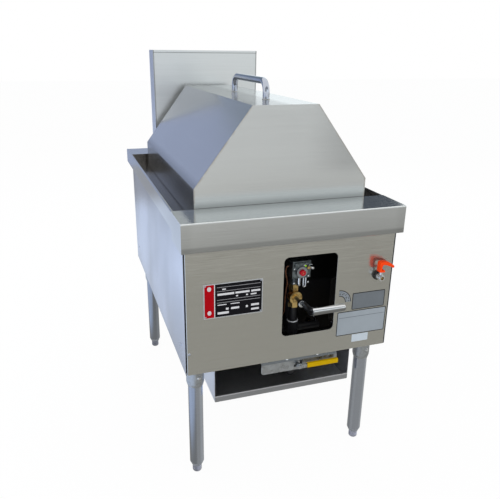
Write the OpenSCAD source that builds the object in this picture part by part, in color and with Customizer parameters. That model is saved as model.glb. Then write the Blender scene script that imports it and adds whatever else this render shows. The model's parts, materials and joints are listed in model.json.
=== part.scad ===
// Gas-fired steamer range with a lift-off hood, a water gutter and a flue riser.
// Millimetres, +Z up. The front apron faces -Y. The origin lies on the floor, under
// the middle of the whole object.

/* [Deck] */
// Width of the deck across its side flanges
deck_w = 610; // [590:5:700]
// Depth of the deck from the apron to the rear flange
deck_d = 1056; // [1040:4:1200]
// Height of the deck above the floor
deck_h = 795; // [760:5:900]
// Height of the front apron
apron_h = 76; // [60:1:90]
// Height of the side and rear flanges
flange_h = 52; // [44:1:70]
// Depth of the flat ledge behind the apron
ledge_d = 117; // [105:1:125]
// Depth of the shelf behind the gutter
shelf_d = 128; // [120:1:132]
// Width of the folded rim along each side
rim_w = 5; // [4:0.5:8]
// Thickness of the deck, gutter and tank sheet
sheet_t = 1.5; // [1.2:0.1:2]
// Outside radius of the sheet bends
bend_r = 3; // [2.4:0.2:3.6]

/* [Gutter and tank] */
// Depth of the gutter floor below the deck
gutter_drop = 39; // [34:1:50]
// Distance from the side of the hood to the side of the tank
tank_side = 20; // [10:1:40]
// Depth of the water tank below the gutter floor
tank_depth = 211; // [180:1:220]
// Distance from the hood front to the tank front
tank_front = 26; // [20:1:40]
// Distance from the tank rear to the hood rear
tank_rear = 19; // [15:1:30]
// Height of the tank rim above the gutter floor
tank_rim = 22; // [15:1:30]
// Depth of the rack ledge below the gutter floor
rack_drop = 14; // [8:1:30]
// Thickness of the steam rack
rack_t = 2.5; // [2:0.5:5]
// Free length behind the rack for the standpipe
rack_rear = 70; // [60:1:90]

/* [Hood] */
// Distance from the deck side to the hood skirt
hood_inset = 60; // [52:1:64]
// Free gutter behind the hood
hood_rear = 39; // [30:1:50]
// Running gap round the hood
hood_gap = 2; // [1:0.5:3]
// Height of the skirt above the deck
skirt_h = 52; // [40:1:70]
// Height of the hood above the deck
hood_h = 255; // [220:5:300]
// Width of the flat top of the hood
hood_top_w = 182; // [150:2:220]
// Thickness of the hood and cabinet sheet
panel_t = 1.2; // [1:0.1:1.6]
// Diameter of the hood handle tube
grip_d = 19; // [16:0.5:22]
// Distance between the handle posts
grip_span = 294; // [200:2:340]
// Height of the handle above the hood
grip_h = 58; // [52:1:80]
// Distance from the hood front to the first handle post
grip_front = 152; // [100:2:200]
// Radius of the handle bends
grip_bend_r = 30; // [22:1:34]

/* [Flue] */
// Width of the flue riser
riser_w = 404; // [360:2:440]
// Thickness of the flue riser, front to rear
riser_d = 85; // [78:1:88]
// Height of the flue riser above the deck
riser_h = 378; // [300:2:500]
// Distance from the front edge of the rear shelf to the riser
riser_setback = 7; // [2:1:20]
// Height of the folded band at the top of the riser
riser_band = 8; // [6:1:14]
// Width of the rear flue duct
duct_w = 300; // [260:2:320]

/* [Cabinet] */
// Inset of the side panels from the deck sides
cab_inset = 7; // [6:0.5:10]
// Setback of the front panel behind the apron
panel_setback = 22; // [16:1:26]
// Distance from the cabinet rear to the deck rear
rear_overhang = 112; // [112:1:116]
// Drop from the deck to the cabinet bottom
cab_drop = 426; // [420:2:450]
// Open joint between front panel and side panels
corner_gap = 2.3; // [1:0.1:4]
// Gap at the front panel's right edge, which sits close to the side panel
right_gap = 0.3; // [0.3:0.1:4]
// Width of the window in the front panel
window_w = 155; // [150:1:170]
// Height of the window in the front panel
window_h = 231; // [225:1:245]
// Corner radius of the window
window_r = 14; // [8:1:20]
// Distance of the window centre right of the middle
window_x = 47.5; // [42:0.5:55]
// Distance of the window centre below the deck
window_drop = 236.5; // [230:0.5:240]

/* [Legs] */
// Diameter of the leg tube
leg_d = 41.3; // [38:0.1:45]
// Wall of the leg tube
leg_wall = 1.5; // [1.2:0.1:2.5]
// Distance from the deck side to a leg
leg_inset = 45; // [42:1:48]
// Distance from the apron to the front legs
leg_front = 82; // [80:1:90]
// Distance from the cabinet rear to the rear legs
leg_rear = 101; // [90:1:120]
// Outside diameter of a leg socket
socket_d = 50; // [48:0.5:54]
// Length of a leg socket
socket_l = 68; // [55:1:80]
// Height of a levelling foot below its leg collar
foot_h = 24; // [18:1:30]
// Diameter of a levelling foot
foot_d = 27; // [22:0.5:30]
// Height of the tapered collar at the leg end
collar_h = 13; // [9:1:16]
// Travel of a levelling foot
foot_travel = 25; // [15:1:30]

/* [Heat tray] */
// Width of the top flanges of the heat tray
tray_flange = 15; // [10:1:20]
// Clearance between the tray flanges and the leg plates
tray_gap = 2; // [1:0.5:20]
// Depth of the heat tray, front to rear
tray_d = 637; // [560:1:680]
// Distance from the apron to the tray front
tray_front = 63; // [60:1:68]
// Height of the tray below the cabinet
tray_h = 130; // [116:1:140]
// Height of the front lip of the tray
lip_h = 19; // [14:1:24]

/* [Gas train] */
// Distance of the gas pipe right of the middle
gas_x = 32; // [30:0.5:34]
// Distance from the apron to the gas pipe
gas_y = 95; // [92:0.5:98]
// Outside diameter of the gas pipe
pipe_d = 21.3; // [20:0.1:22]
// Drop from the deck to the gas handle stem
stem_drop = 267.5; // [265:0.5:270]
// Distance from the apron back to the handle bar, negative is in front
bar_y = -14; // [-18:0.5:-12]
// Length of the handle bar
bar_l = 98; // [70:1:110]
// Diameter of the handle bar
bar_d = 24; // [18:0.5:26]
// Drop from the deck to the ball valve stem
ball_drop = 461; // [458:0.5:463]
// Distance from the apron to the ball valve lever
ball_lever_y = 28; // [26:0.5:30]
// Length of the yellow sleeve
sleeve_l = 96; // [80:1:105]
// Height of the yellow sleeve
sleeve_h = 15; // [12:0.5:17]
// Side of the safety valve body
safety_w = 54; // [52:1:56]
// Diameter of the reset button
button_d = 17; // [14:0.5:19]
// Travel of the reset button
button_travel = 4; // [3:0.5:5]

/* [Water valve] */
// Distance from the right edge of the front panel to the water valve
water_margin = 44.5; // [40:0.5:60]
// Drop from the deck to the water valve
water_drop = 201; // [190:1:210]
// Diameter of the water valve body
water_d = 19; // [18:0.5:24]
// Reach of the orange lever to the side
water_lever_l = 40; // [36:1:52]

/* [Burners] */
// Number of burner tubes
burner_count = 2; // [2:1:2]
// Diameter of a burner tube
burner_d = 48; // [40:1:54]
// Distance between the burner tubes
burner_pitch = 220; // [200:2:240]
// Drop from the deck to the burner axis
burner_drop = 387; // [380:1:392]

/* [Plates] */
// Distance from the left edge of the front panel to the rating plate
rating_margin = 47; // [40:1:60]
// Drop from the deck to the top of the rating plate
rating_drop = 170; // [150:1:200]
// Width of the rating plate
rating_w = 159.5; // [120:0.5:170]
// Height of the rating plate
rating_h = 97; // [80:1:110]
// Distance from the window to the upper notice
notice_gap = 54.5; // [40:0.5:80]
// Distance from the upper notice to the edge of the panel
notice_margin = 12; // [5:1:30]
// Drop from the deck to the top of the upper notice
notice_drop = 249; // [240:1:255]
// Height of the upper notice
notice_h = 51; // [40:1:53]
// Distance from the window to the lower notice
label_gap = 11.5; // [8:0.5:20]
// Distance from the lower notice to the edge of the panel
label_margin = 4; // [2:1:20]
// Drop from the deck to the top of the lower notice
label_drop = 303; // [301:1:310]
// Height of the lower notice
label_h = 75.5; // [60:0.5:76]
// Distance from the sticker to the edge of the panel
sticker_margin = 54.5; // [20:0.5:80]
// Drop from the deck to the top of the sticker
sticker_drop = 380; // [379:1:395]
// Width of the sticker
sticker_w = 52; // [30:1:60]
// Height of the sticker
sticker_h = 24; // [15:1:30]
// Outside radius of the quarter-ring strip
dial_r = 38; // [25:1:39]
// Width of the quarter-ring strip
dial_w = 18; // [8:1:20]
// Distance from the window to the centre of the quarter ring
dial_gap = 12; // [8:1:15]
// Drop from the deck to the centre of the quarter ring
dial_drop = 273; // [265:1:280]
// Drop from the deck to the panel screws
screw_drop = 363; // [300:1:390]

/* [Hidden] */
$fn = 48;

steel = [0.74, 0.75, 0.75];
galvanised = [0.62, 0.65, 0.68];
black = [0.08, 0.08, 0.09];
brass = [0.72, 0.55, 0.25];
copper = [0.72, 0.42, 0.28];

// Seating gap between pieces on different bodies, and running clearance of a turning pin
seat_gap = 0.3;
run_gap = 0.05;

half_w = deck_w / 2;
gutter_x = half_w - rim_w;
gutter_z = deck_h - gutter_drop;
shelf_y = deck_d - shelf_d;
hood_x = half_w - hood_inset;
hood_y0 = ledge_d + hood_gap;
hood_y1 = shelf_y - hood_rear;
hood_top = deck_h + hood_h;
knee_z = deck_h + skirt_h;
tank_x = hood_x - tank_side;
tank_y0 = hood_y0 + tank_front;
tank_y1 = hood_y1 - tank_rear;
tank_z = gutter_z - tank_depth;
rack_z = gutter_z - rack_drop;
rack_y1 = tank_y1 - rack_rear;

cab_x = half_w - cab_inset;
cab_y1 = deck_d - rear_overhang;
cab_z = deck_h - cab_drop;
panel_x = cab_x - panel_t - corner_gap;
panel_right = cab_x - panel_t - right_gap;
panel_top = gutter_z - sheet_t;
return_w = 12;
window_z = deck_h - window_drop;

riser_y0 = shelf_y + riser_setback;
riser_x = riser_w / 2;
duct_x = duct_w / 2;
duct_y1 = riser_y0 + riser_d - 6;
duct_z = tank_z - 70;
throat_x = duct_x - 18;
throat_h = 62;
throat_z = tank_z - throat_h - 8;

frame_z = cab_z + panel_t;
rail = 30;
rail_t = 3;
frame_x = cab_x - bend_r;
frame_y0 = panel_setback + 24;
frame_y1 = cab_y1 - panel_t;
leg_x = half_w - leg_inset;
leg_r = leg_d / 2;
plate_t = 3;
plate_z = frame_z - plate_t;
collar_z = foot_h;
tube_z = foot_h + collar_h;
foot_stem_r = 6;
tray_z = cab_z - tray_h;
plate_inner = socket_d / 2 + 9;
tray_x = leg_x - plate_inner - tray_gap - tray_flange;
plate_l = 76;
tray_y1 = tray_front + tray_d;
hanger_ys = [tank_y0 - 8, tray_y1 - 45];

stem_z = deck_h - stem_drop;
ball_z = deck_h - ball_drop;
pipe_r = pipe_d / 2;
bonnet_y = gas_y - 20;
hub_y = gas_y - 60;
hub_r = 10.5;
hub_l = 9;
neck_x = gas_x + 8;
bar_r = bar_d / 2;
bar_x0 = neck_x - 1;
elbow_r = bar_r;
valve_stem_r = 5;

valve_block_r = 16;
coupling_z = stem_z - 96;
coupling_h = 38;
brass_lo = stem_z - 33;
brass_hi = stem_z + 38;
safety_z = brass_hi + 26;
safety_y = gas_y - 30;
safety_x0 = gas_x - 19;
safety_h = 50;
safety_back = 18;
button_x = gas_x + 7;
button_z = safety_z + 20;
boss_r = button_d / 2 + 7;
boss_l = 7;
button_proud = 9;

manifold_y = gas_y + safety_back + pipe_r + 1;
burner_z = deck_h - burner_drop;
liner_x = burner_pitch / 2 + burner_d / 2 + 50;
liner_y0 = tank_y0 + 1;
liner_y1 = rack_y1 - 10;
liner_z = frame_z + rail_t;
baffle_lap = 10;
baffle_gap = 2;
burner_l = liner_y1 - liner_y0 - 60;
burner_r = burner_d / 2;
burner_xs = [-burner_pitch / 2, burner_pitch / 2];

water_x = panel_x - water_margin;
water_z = deck_h - water_drop;
water_r = water_d / 2;
water_shank_r = water_r - 1.5;
water_tail = 14;
water_y1 = panel_setback - 9;
water_y0 = water_y1 - 20;
water_stem_y = water_y1 - 11;
water_lever_w = 18;
water_nut_r = water_r + 4;
drain_x = -(tank_x - 30);
drain_y = tank_y1 - 35;
drain_z = tank_z - 26;
drain_r = 13.4;
drain_wall = 2.5;
fill_r = 6.4;
fill_wall = 1.2;
fill_x = tank_x - 25;
fill_z = gutter_z - 30;

// The handle bar and the water valve reach furthest forward, the rear flange furthest back
front_y = min(bar_y - bar_r, water_y0);
mid_y = (front_y + deck_d) / 2;

module place() {
    translate([0, -mid_y, 0]) children();
}

module block(x0, x1, y0, y1, z0, z1) {
    translate([x0, y0, z0]) cube([x1 - x0, y1 - y0, z1 - z0]);
}

module rod_x(r, x0, x1) {
    translate([x0, 0, 0]) rotate([0, 90, 0]) cylinder(r = r, h = x1 - x0);
}

module rod_y(r, y0, y1) {
    translate([0, y0, 0]) rotate([-90, 0, 0]) cylinder(r = r, h = y1 - y0);
}

module rod_z(r, z0, z1) {
    translate([0, 0, z0]) cylinder(r = r, h = z1 - z0);
}

// A section drawn in (Y, Z) run along X, and one drawn in (X, Z) run along Y
module along_x(x0, x1) {
    translate([x0, 0, 0]) rotate([90, 0, 90]) linear_extrude(x1 - x0) children();
}

module along_y(y0, y1) {
    translate([0, y1, 0]) rotate([90, 0, 0]) linear_extrude(y1 - y0) children();
}

module mirrored_x() {
    children();
    mirror([1, 0, 0]) children();
}

module rounded_rect(w, h, r) {
    square([w - 2 * r, h], center = true);
    square([w, h - 2 * r], center = true);
    for (sx = [-1, 1], sy = [-1, 1])
        translate([sx * (w / 2 - r), sy * (h / 2 - r)]) circle(r);
}

// Direction, right-hand normal and turning angle along a line of points
function direction(a, b) = (b - a) / norm(b - a);
function right_of(d) = [d[1], -d[0]];
function turn(d, e) = atan2(d[0] * e[1] - d[1] * e[0], d * e);
function turned(v, a) = [v[0] * cos(a) - v[1] * sin(a), v[0] * sin(a) + v[1] * cos(a)];
function reversed(list) = [for (i = [len(list) - 1 : -1 : 0]) list[i]];

// Points round one bend of outside radius r, on the face that lies off to the right
bend_steps = 6;
function bend_points(p, d, e, t, r, off) =
    let (a = turn(d, e), side = a < 0 ? 1 : -1, line_r = a < 0 ? r : r - t,
        c = p - line_r * tan(abs(a) / 2) * d + side * line_r * right_of(d))
    [for (i = [0 : bend_steps]) c - (side * line_r - off) * turned(right_of(d), a * i / bend_steps)];

// One face of a bent sheet: the traced line has the sheet on its right
function face_line(points, t, r, off) =
    let (n = len(points) - 1, dirs = [for (i = [0 : n - 1]) direction(points[i], points[i + 1])])
    concat([points[0] + off * right_of(dirs[0])],
        [for (i = [1 : n - 1]) each bend_points(points[i], dirs[i - 1], dirs[i], t, r, off)],
        [points[n] + off * right_of(dirs[n - 1])]);

// Section of a bent sheet on edge, with its outside face through the given points
module bent_sheet(points, t, r) {
    polygon(concat(face_line(points, t, r, 0), reversed(face_line(points, t, r, t))));
}

// Deck, gutter and tank

apron_line = [[ledge_d, deck_h - apron_h], [0, deck_h - apron_h], [0, deck_h], [ledge_d, deck_h]];

module deck() place() color(steel) {
    under = deck_h - sheet_t;
    along_x(-half_w, half_w)
        bent_sheet([[return_w, apron_line[0][1]], apron_line[1], apron_line[2], apron_line[3]],
            sheet_t, bend_r);
    mirrored_x() {
        along_x(half_w - sheet_t, half_w) polygon(face_line(apron_line, sheet_t, bend_r, 0));
        along_y(ledge_d, deck_d)
            bent_sheet([[gutter_x, deck_h], [half_w, deck_h], [half_w, deck_h - flange_h],
                [gutter_x, deck_h - flange_h]], sheet_t, bend_r);
    }
    difference() {
        along_x(-half_w + bend_r, half_w - bend_r)
            bent_sheet([[shelf_y, deck_h], [deck_d, deck_h], [deck_d, deck_h - flange_h],
                [deck_d - return_w, deck_h - flange_h]], sheet_t, bend_r);
        block(-duct_x + panel_t, duct_x - panel_t, cab_y1 + panel_t, duct_y1 - panel_t,
            under - 1, deck_h + 1);
    }
    block(-half_w + sheet_t, half_w - sheet_t, deck_d - sheet_t, deck_d,
        deck_h - flange_h, deck_h - bend_r);
}

// The gutter is four folded channels: two along the sides, and one across each end between them
module gutter_sides() place() color(steel) {
    wall_x = gutter_x + sheet_t;
    under = gutter_z - sheet_t;
    mirrored_x()
        along_y(ledge_d - sheet_t, shelf_y + sheet_t)
            polygon([[tank_x, under], [wall_x, under], [wall_x, deck_h - sheet_t],
                [gutter_x, deck_h - sheet_t], [gutter_x, gutter_z], [tank_x, gutter_z]]);
}

module gutter_ends() place() color(steel) {
    end_channel(ledge_d - sheet_t, tank_y0);
    end_channel(shelf_y, tank_y1);
}

// A channel with its wall at wall_y and its floor from there to the tank
module end_channel(wall_y, floor_y) {
    under = gutter_z - sheet_t;
    block(-tank_x, tank_x, min(wall_y, floor_y), max(wall_y + sheet_t, floor_y), under, gutter_z);
    along_y(wall_y, wall_y + sheet_t)
        polygon([[-gutter_x, gutter_z], [-tank_x, gutter_z], [-tank_x, under], [tank_x, under],
            [tank_x, gutter_z], [gutter_x, gutter_z], [gutter_x, deck_h - sheet_t],
            [-gutter_x, deck_h - sheet_t]]);
}

module water_tank() place() color(steel) {
    difference() {
        block(-tank_x, tank_x, tank_y0, tank_y1, tank_z, gutter_z + tank_rim);
        block(-tank_x + sheet_t, tank_x - sheet_t, tank_y0 + sheet_t, tank_y1 - sheet_t,
            tank_z + sheet_t, gutter_z + tank_rim + 1);
        translate([drain_x, drain_y, 0]) rod_z(drain_r - drain_wall, tank_z - 1, tank_z + 2 * sheet_t);
        translate([fill_x, 0, fill_z]) rod_y(fill_r - fill_wall, tank_y0 - 1, tank_y0 + 2 * sheet_t);
    }
    // Ledges that carry the rack
    mirrored_x()
        block(tank_x - sheet_t - 18, tank_x - sheet_t, tank_y0 + sheet_t, rack_y1,
            rack_z - sheet_t, rack_z);
    // Seat ring for the standpipe
    translate([drain_x, drain_y, 0]) difference() {
        rod_z(drain_r + 9, tank_z + sheet_t, tank_z + sheet_t + 6);
        rod_z(drain_r + 3.2, tank_z + sheet_t - 1, tank_z + sheet_t + 7);
    }
}

module steam_rack() place() color(steel) {
    rack_x = tank_x - sheet_t - 3;
    y0 = tank_y0 + sheet_t + 3;
    z = rack_z + seat_gap;
    slot = 60;
    rows = 14;
    pitch_y = (rack_y1 - y0 - 20) / rows;
    difference() {
        block(-rack_x, rack_x, y0, rack_y1, z, z + rack_t);
        for (i = [0 : rows - 1], x = [-2 : 2])
            translate([x * (rack_x - 20) * 2 / 5, y0 + 10 + (i + 0.5) * pitch_y, z + rack_t / 2])
                cube([slot, pitch_y * 0.45, 3 * rack_t], center = true);
    }
}

module standpipe() place() color(steel) {
    z0 = tank_z + sheet_t + seat_gap;
    translate([drain_x, drain_y, 0]) difference() {
        union() {
            rod_z(drain_r + 2.9, z0, z0 + 12);
            rod_z(drain_r + 1.5, z0 + 12, rack_z);
        }
        rod_z(drain_r - 0.5, z0 - 1, rack_z + 1);
        for (a = [0, 90]) rotate([0, 0, a])
            translate([0, 0, rack_z]) cube([60, 10, 24], center = true);
    }
}

// Hood

hood_line = [[-hood_x, gutter_z + seat_gap], [-hood_x, knee_z], [-hood_top_w / 2, hood_top],
    [hood_top_w / 2, hood_top], [hood_x, knee_z], [hood_x, gutter_z + seat_gap]];

module hood_shell() place() color(steel) difference() {
    union() {
        along_y(hood_y0 + panel_t / 2, hood_y1 - panel_t / 2) bent_sheet(hood_line, panel_t, bend_r);
        for (y = [hood_y0, hood_y1 - panel_t])
            along_y(y, y + panel_t) polygon(face_line(hood_line, panel_t, bend_r, 0));
    }
    for (y = grip_ys) translate([0, y, 0]) rod_z(grip_bolt_r, hood_top - 2 * panel_t, hood_top + 1);
}

grip_ys = [hood_y0 + grip_front, hood_y0 + grip_front + grip_span];
grip_r = grip_d / 2;
grip_bolt_r = 4.2;
grip_top = hood_top + grip_h - grip_r;

module hood_handle() place() color(steel) {
    b = grip_bend_r;
    for (y = grip_ys) translate([0, y, 0]) {
        rod_z(grip_r, hood_top, grip_top - b);
        rod_z(grip_bolt_r - 0.2, hood_top - panel_t - 14, hood_top + 1);
    }
    translate([0, 0, grip_top]) rod_y(grip_r, grip_ys[0] + b, grip_ys[1] - b);
    for (end = [0, 1])
        translate([0, end == 0 ? grip_ys[0] + b : grip_ys[1] - b, grip_top - b])
            rotate([0, -90, end == 0 ? 180 : 0]) mirror([0, 1, 0]) rotate([0, 0, -90])
                rotate_extrude(angle = 90) translate([b, 0]) circle(grip_r);
}

module handle_nuts() place() color(steel) {
    for (y = grip_ys) translate([0, y, 0]) difference() {
        union() {
            rod_z(11, hood_top - panel_t - 1.6, hood_top - panel_t);
            translate([0, 0, hood_top - panel_t - 8.6]) cylinder(r = 7.5, h = 7, $fn = 6);
        }
        rod_z(grip_bolt_r - 0.2, hood_top - panel_t - 20, hood_top);
    }
}

// Flue

module flue_riser() place() color(steel) {
    y1 = riser_y0 + riser_d;
    top = deck_h + riser_h;
    difference() {
        block(-riser_x, riser_x, riser_y0, y1, deck_h, top);
        block(-riser_x + panel_t, riser_x - panel_t, riser_y0 + panel_t, y1 - panel_t,
            deck_h - 1, top + 1);
    }
    // Folded band along the top of the front
    block(-riser_x, riser_x, riser_y0 - panel_t, riser_y0, top - riser_band, top);
}

module flue_duct() place() color(galvanised) {
    y0 = cab_y1;
    z1 = deck_h - sheet_t;
    difference() {
        block(-duct_x, duct_x, y0, duct_y1, duct_z, z1);
        block(-duct_x + panel_t, duct_x - panel_t, y0 + panel_t, duct_y1 - panel_t,
            duct_z + panel_t, z1 + 1);
        block(-throat_x + panel_t, throat_x - panel_t, y0 - 1, y0 + 3 * panel_t,
            throat_z + panel_t, throat_z + throat_h - panel_t);
    }
    // Throat through the rear panel to the chamber
    difference() {
        block(-throat_x, throat_x, liner_y1 + panel_t, y0, throat_z, throat_z + throat_h);
        block(-throat_x + panel_t, throat_x - panel_t, liner_y1, y0 + 1,
            throat_z + panel_t, throat_z + throat_h - panel_t);
    }
}

// Cabinet

module front_panel() place() color(steel) {
    top = deck_h - sheet_t;
    difference() {
        union() {
            translate([0, 0, cab_z]) linear_extrude(top - cab_z)
                bent_sheet([[panel_right, panel_setback + return_w], [panel_right, panel_setback],
                    [-panel_x, panel_setback], [-panel_x, panel_setback + return_w]], panel_t, bend_r);
            for (z = [cab_z, top - panel_t])
                block(-panel_x + return_w, panel_right - return_w, panel_setback, panel_setback + return_w,
                    z, z + panel_t);
        }
        translate([window_x, 0, window_z])
            along_y(panel_setback - 1, panel_setback + 2 * panel_t)
                rounded_rect(window_w, window_h, window_r);
        translate([water_x, 0, water_z])
            rod_y(water_shank_r, panel_setback - 1, panel_setback + 2 * panel_t);
    }
}

// The returns stop short of the folded edges of the front panel, half way into the gap beside it
module side_panel(gap) color(steel) difference() {
    along_y(panel_setback, cab_y1 - panel_t)
        bent_sheet([[cab_x - return_w, panel_top], [cab_x, panel_top], [cab_x, cab_z],
            [cab_x - return_w, cab_z]], panel_t, bend_r);
    block(cab_x - return_w - 1, cab_x - panel_t - gap / 2, panel_setback - 1, panel_setback + return_w + 0.5,
        cab_z - 1, panel_top + 1);
}

module right_panel() place() side_panel(right_gap);

module left_panel() place() mirror([1, 0, 0]) side_panel(corner_gap);

module rear_panel() place() color(steel) {
    difference() {
        block(-cab_x, cab_x, cab_y1 - panel_t, cab_y1, cab_z, deck_h - sheet_t);
        block(-throat_x, throat_x, cab_y1 - 9, cab_y1 + 9, throat_z, throat_z + throat_h);
        translate([drain_x, 0, drain_z]) rod_y(drain_r + 2, cab_y1 - 9, cab_y1 + 9);
        // Air slots beside the duct
        mirrored_x() for (i = [0 : 4])
            block(duct_x + 30, cab_x - 30, cab_y1 - 9, cab_y1 + 9,
                panel_top - 60 - 22 * i, panel_top - 52 - 22 * i);
    }
}

module base_frame() place() color(galvanised) {
    z1 = frame_z + rail;
    mirrored_x() {
        block(frame_x - rail_t, frame_x, frame_y0, frame_y1, frame_z, z1);
        block(frame_x - rail, frame_x, frame_y0, frame_y1, frame_z, frame_z + rail_t);
    }
    block(-frame_x, frame_x, frame_y0, frame_y0 + rail_t, frame_z, z1);
    block(-frame_x, frame_x, frame_y0, frame_y0 + rail, frame_z, frame_z + rail_t);
    block(-frame_x, frame_x, frame_y1 - rail_t, frame_y1, frame_z, z1);
    block(-frame_x, frame_x, frame_y1 - rail, frame_y1, frame_z, frame_z + rail_t);
    for (y = hanger_ys) block(-frame_x, frame_x, y, y + rail, frame_z, frame_z + rail_t);
}

// Legs

leg_y1 = cab_y1 - leg_rear;
leg_places = [[-leg_x, leg_front], [leg_x, leg_front], [-leg_x, leg_y1], [leg_x, leg_y1]];

module leg_sockets() place() color(galvanised) {
    r = socket_d / 2;
    chamfer = 12;
    outer = cab_x - return_w - 1 - leg_x;
    for (p = leg_places) translate([p[0], p[1], 0]) difference() {
        union() {
            side = p[0] < 0 ? -1 : 1;
            translate([side * (outer - plate_inner) / 2, 0, plate_z + plate_t / 2])
                cube([outer + plate_inner, plate_l, plate_t], center = true);
            rod_z(r, plate_z - socket_l + chamfer, plate_z);
            translate([0, 0, plate_z - socket_l])
                cylinder(r1 = leg_r + 1, r2 = r, h = chamfer);
        }
        rod_z(leg_r + run_gap, plate_z - socket_l - 1, plate_z);
        rotate([0, 0, screw_turn]) translate([0, 0, screw_z])
            rod_y(screw_r + 0.02, -r - 1, -leg_r + 2);
    }
}

screw_turn = 12;
screw_r = 3;
screw_z = plate_z - 36;

module socket_screws() place() color(steel) {
    for (p = leg_places) translate([p[0], p[1], screw_z]) rotate([0, 0, screw_turn]) {
        rod_y(screw_r, -socket_d / 2, -leg_r - run_gap);
        translate([0, -socket_d / 2, 0]) rotate([90, 0, 0]) cylinder(r1 = 5, r2 = 3.8, h = 2.6);
    }
}

module leg_tube() color(steel) difference() {
    rod_z(leg_r, tube_z, plate_z);
    rod_z(leg_r - leg_wall, tube_z - 1, plate_z + 1);
}

module leg_fl() place() translate(leg_places[0]) leg_tube();

module leg_fr() place() translate(leg_places[1]) leg_tube();

module leg_rl() place() translate(leg_places[2]) leg_tube();

module leg_rr() place() translate(leg_places[3]) leg_tube();

module leg_collars() place() color(galvanised) {
    plug_h = foot_travel + 10;
    for (p = leg_places) translate(p) difference() {
        union() {
            translate([0, 0, collar_z]) cylinder(r1 = foot_d / 2 + 1.5, r2 = leg_r, h = collar_h);
            rod_z(leg_r - leg_wall, tube_z, tube_z + plug_h);
        }
        rod_z(foot_stem_r + run_gap, collar_z - 1, tube_z + plug_h + 1);
    }
}

module foot() color(steel) {
    r = foot_d / 2;
    round = 6;
    top = foot_h - seat_gap;
    rotate_extrude() {
        translate([0, round]) square([r, top - round - 2]);
        square([r - round, top]);
        intersection() {
            translate([r - round, round]) circle(round);
            square([r, round]);
        }
        polygon([[0, top - 2], [r, top - 2], [r - 2, top], [0, top]]);
    }
    rod_z(foot_stem_r, top, tube_z + foot_travel + 8);
}

module foot_fl() place() translate(leg_places[0]) foot();

module foot_fr() place() translate(leg_places[1]) foot();

module foot_rl() place() translate(leg_places[2]) foot();

module foot_rr() place() translate(leg_places[3]) foot();

// Heat tray and valve bracket

module heat_tray() place() color(steel) {
    hang = frame_z - panel_t;
    difference() {
        union() {
            along_y(tray_front, tray_y1)
                bent_sheet([[tray_x + tray_flange, hang], [tray_x, hang], [tray_x, tray_z], [-tray_x, tray_z],
                    [-tray_x, hang], [-tray_x - tray_flange, hang]], panel_t, bend_r);
            // Folded front lip and rear wall
            block(-tray_x + panel_t / 2, tray_x - panel_t / 2, tray_front, tray_front + 2 * panel_t,
                tray_z + panel_t / 2, tray_z + lip_h);
            block(-tray_x + panel_t / 2, tray_x - panel_t / 2, tray_y1 - panel_t, tray_y1,
                tray_z + panel_t / 2, frame_z - 1);
        }
        translate([gas_x, 0, inlet_z]) rod_y(pipe_r + 3, tray_y1 - 9, tray_y1 + 9);
    }
}

bracket_t = 2;
bracket_y = ball_lever_y + 16;
bracket_z = ball_z - 19;
bracket_fold = ball_z + 12;
bracket_x0 = gas_x - 110;
bracket_x1 = gas_x + 125;
bracket_slot_w = 26;
bracket_slot_h = 18;
bracket_lean = 14;

module valve_bracket() place() color(galvanised) {
    corner = 9;
    difference() {
        intersection() {
            along_x(bracket_x0, bracket_x1)
                bent_sheet([[bracket_y, bracket_z], [bracket_y, bracket_fold],
                    [bracket_y + bracket_lean, frame_z], [bracket_y + bracket_lean + 18, frame_z]],
                    bracket_t, bend_r);
            along_y(bracket_y - 9, bracket_y + 40) {
                translate([bracket_x0 + corner, bracket_z])
                    square([bracket_x1 - bracket_x0 - 2 * corner, frame_z - bracket_z]);
                translate([bracket_x0, bracket_z + corner])
                    square([bracket_x1 - bracket_x0, frame_z - bracket_z]);
                for (x = [bracket_x0 + corner, bracket_x1 - corner])
                    translate([x, bracket_z + corner]) circle(corner);
            }
        }
        translate([gas_x + 3, bracket_y, ball_z])
            cube([bracket_slot_w, 20, bracket_slot_h], center = true);
    }
}

// Pan-head screws stand on the sloping band of the bracket
module bracket_screws() place() color(steel) {
    rise = frame_z - bracket_fold;
    lean = atan2(bracket_lean, rise);
    up = 0.3;
    for (x = [gas_x - 32, gas_x + 63])
        translate([x, bracket_y + bracket_lean * up, bracket_fold + rise * up])
            rotate([90 - lean, 0, 0]) {
                cylinder(r = 4.5, h = 1.6);
                translate([0, 0, 1.6]) cylinder(r1 = 4.5, r2 = 3, h = 1.2);
            }
}

// Gas train, from the inlet up to the safety valve

ball_half = 28;
ball_r = 17;
inlet_z = ball_z - ball_half - 24;
inlet_end = deck_d - 60;
thread_l = 20;
thread_cut = 0.3;

module ball_valve_body() place() color(galvanised) translate([gas_x, gas_y, ball_z]) {
    difference() {
        union() {
            sphere(ball_r + 1);
            rod_z(ball_r - 3, -ball_half, ball_half);
            for (z = [-ball_half, ball_half - 12]) translate([0, 0, z]) cylinder(r = ball_r, h = 12, $fn = 6);
            rod_y(10, -gas_y + bracket_y + bracket_t + 4, 0);
        }
        rod_z(pipe_r - 3, -ball_half - 1, ball_half + 1);
        rod_y(valve_stem_r + run_gap, -gas_y, 1);
    }
}

module ball_valve_lever() place() color(galvanised) translate([gas_x, 0, ball_z]) {
    strip = 3;
    y = ball_lever_y + strip / 2;
    difference() {
        union() {
            rod_y(valve_stem_r, y, gas_y - pipe_r);
            rod_y(9, y - strip / 2, y + strip / 2);
            block(0, 24 + sleeve_l - 8, y - strip / 2, y + strip / 2, -5, 5);
            translate([0, y - strip / 2 - 5, 0]) rotate([-90, 0, 0]) cylinder(r = 6.5, h = 5, $fn = 6);
        }
    }
}

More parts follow.
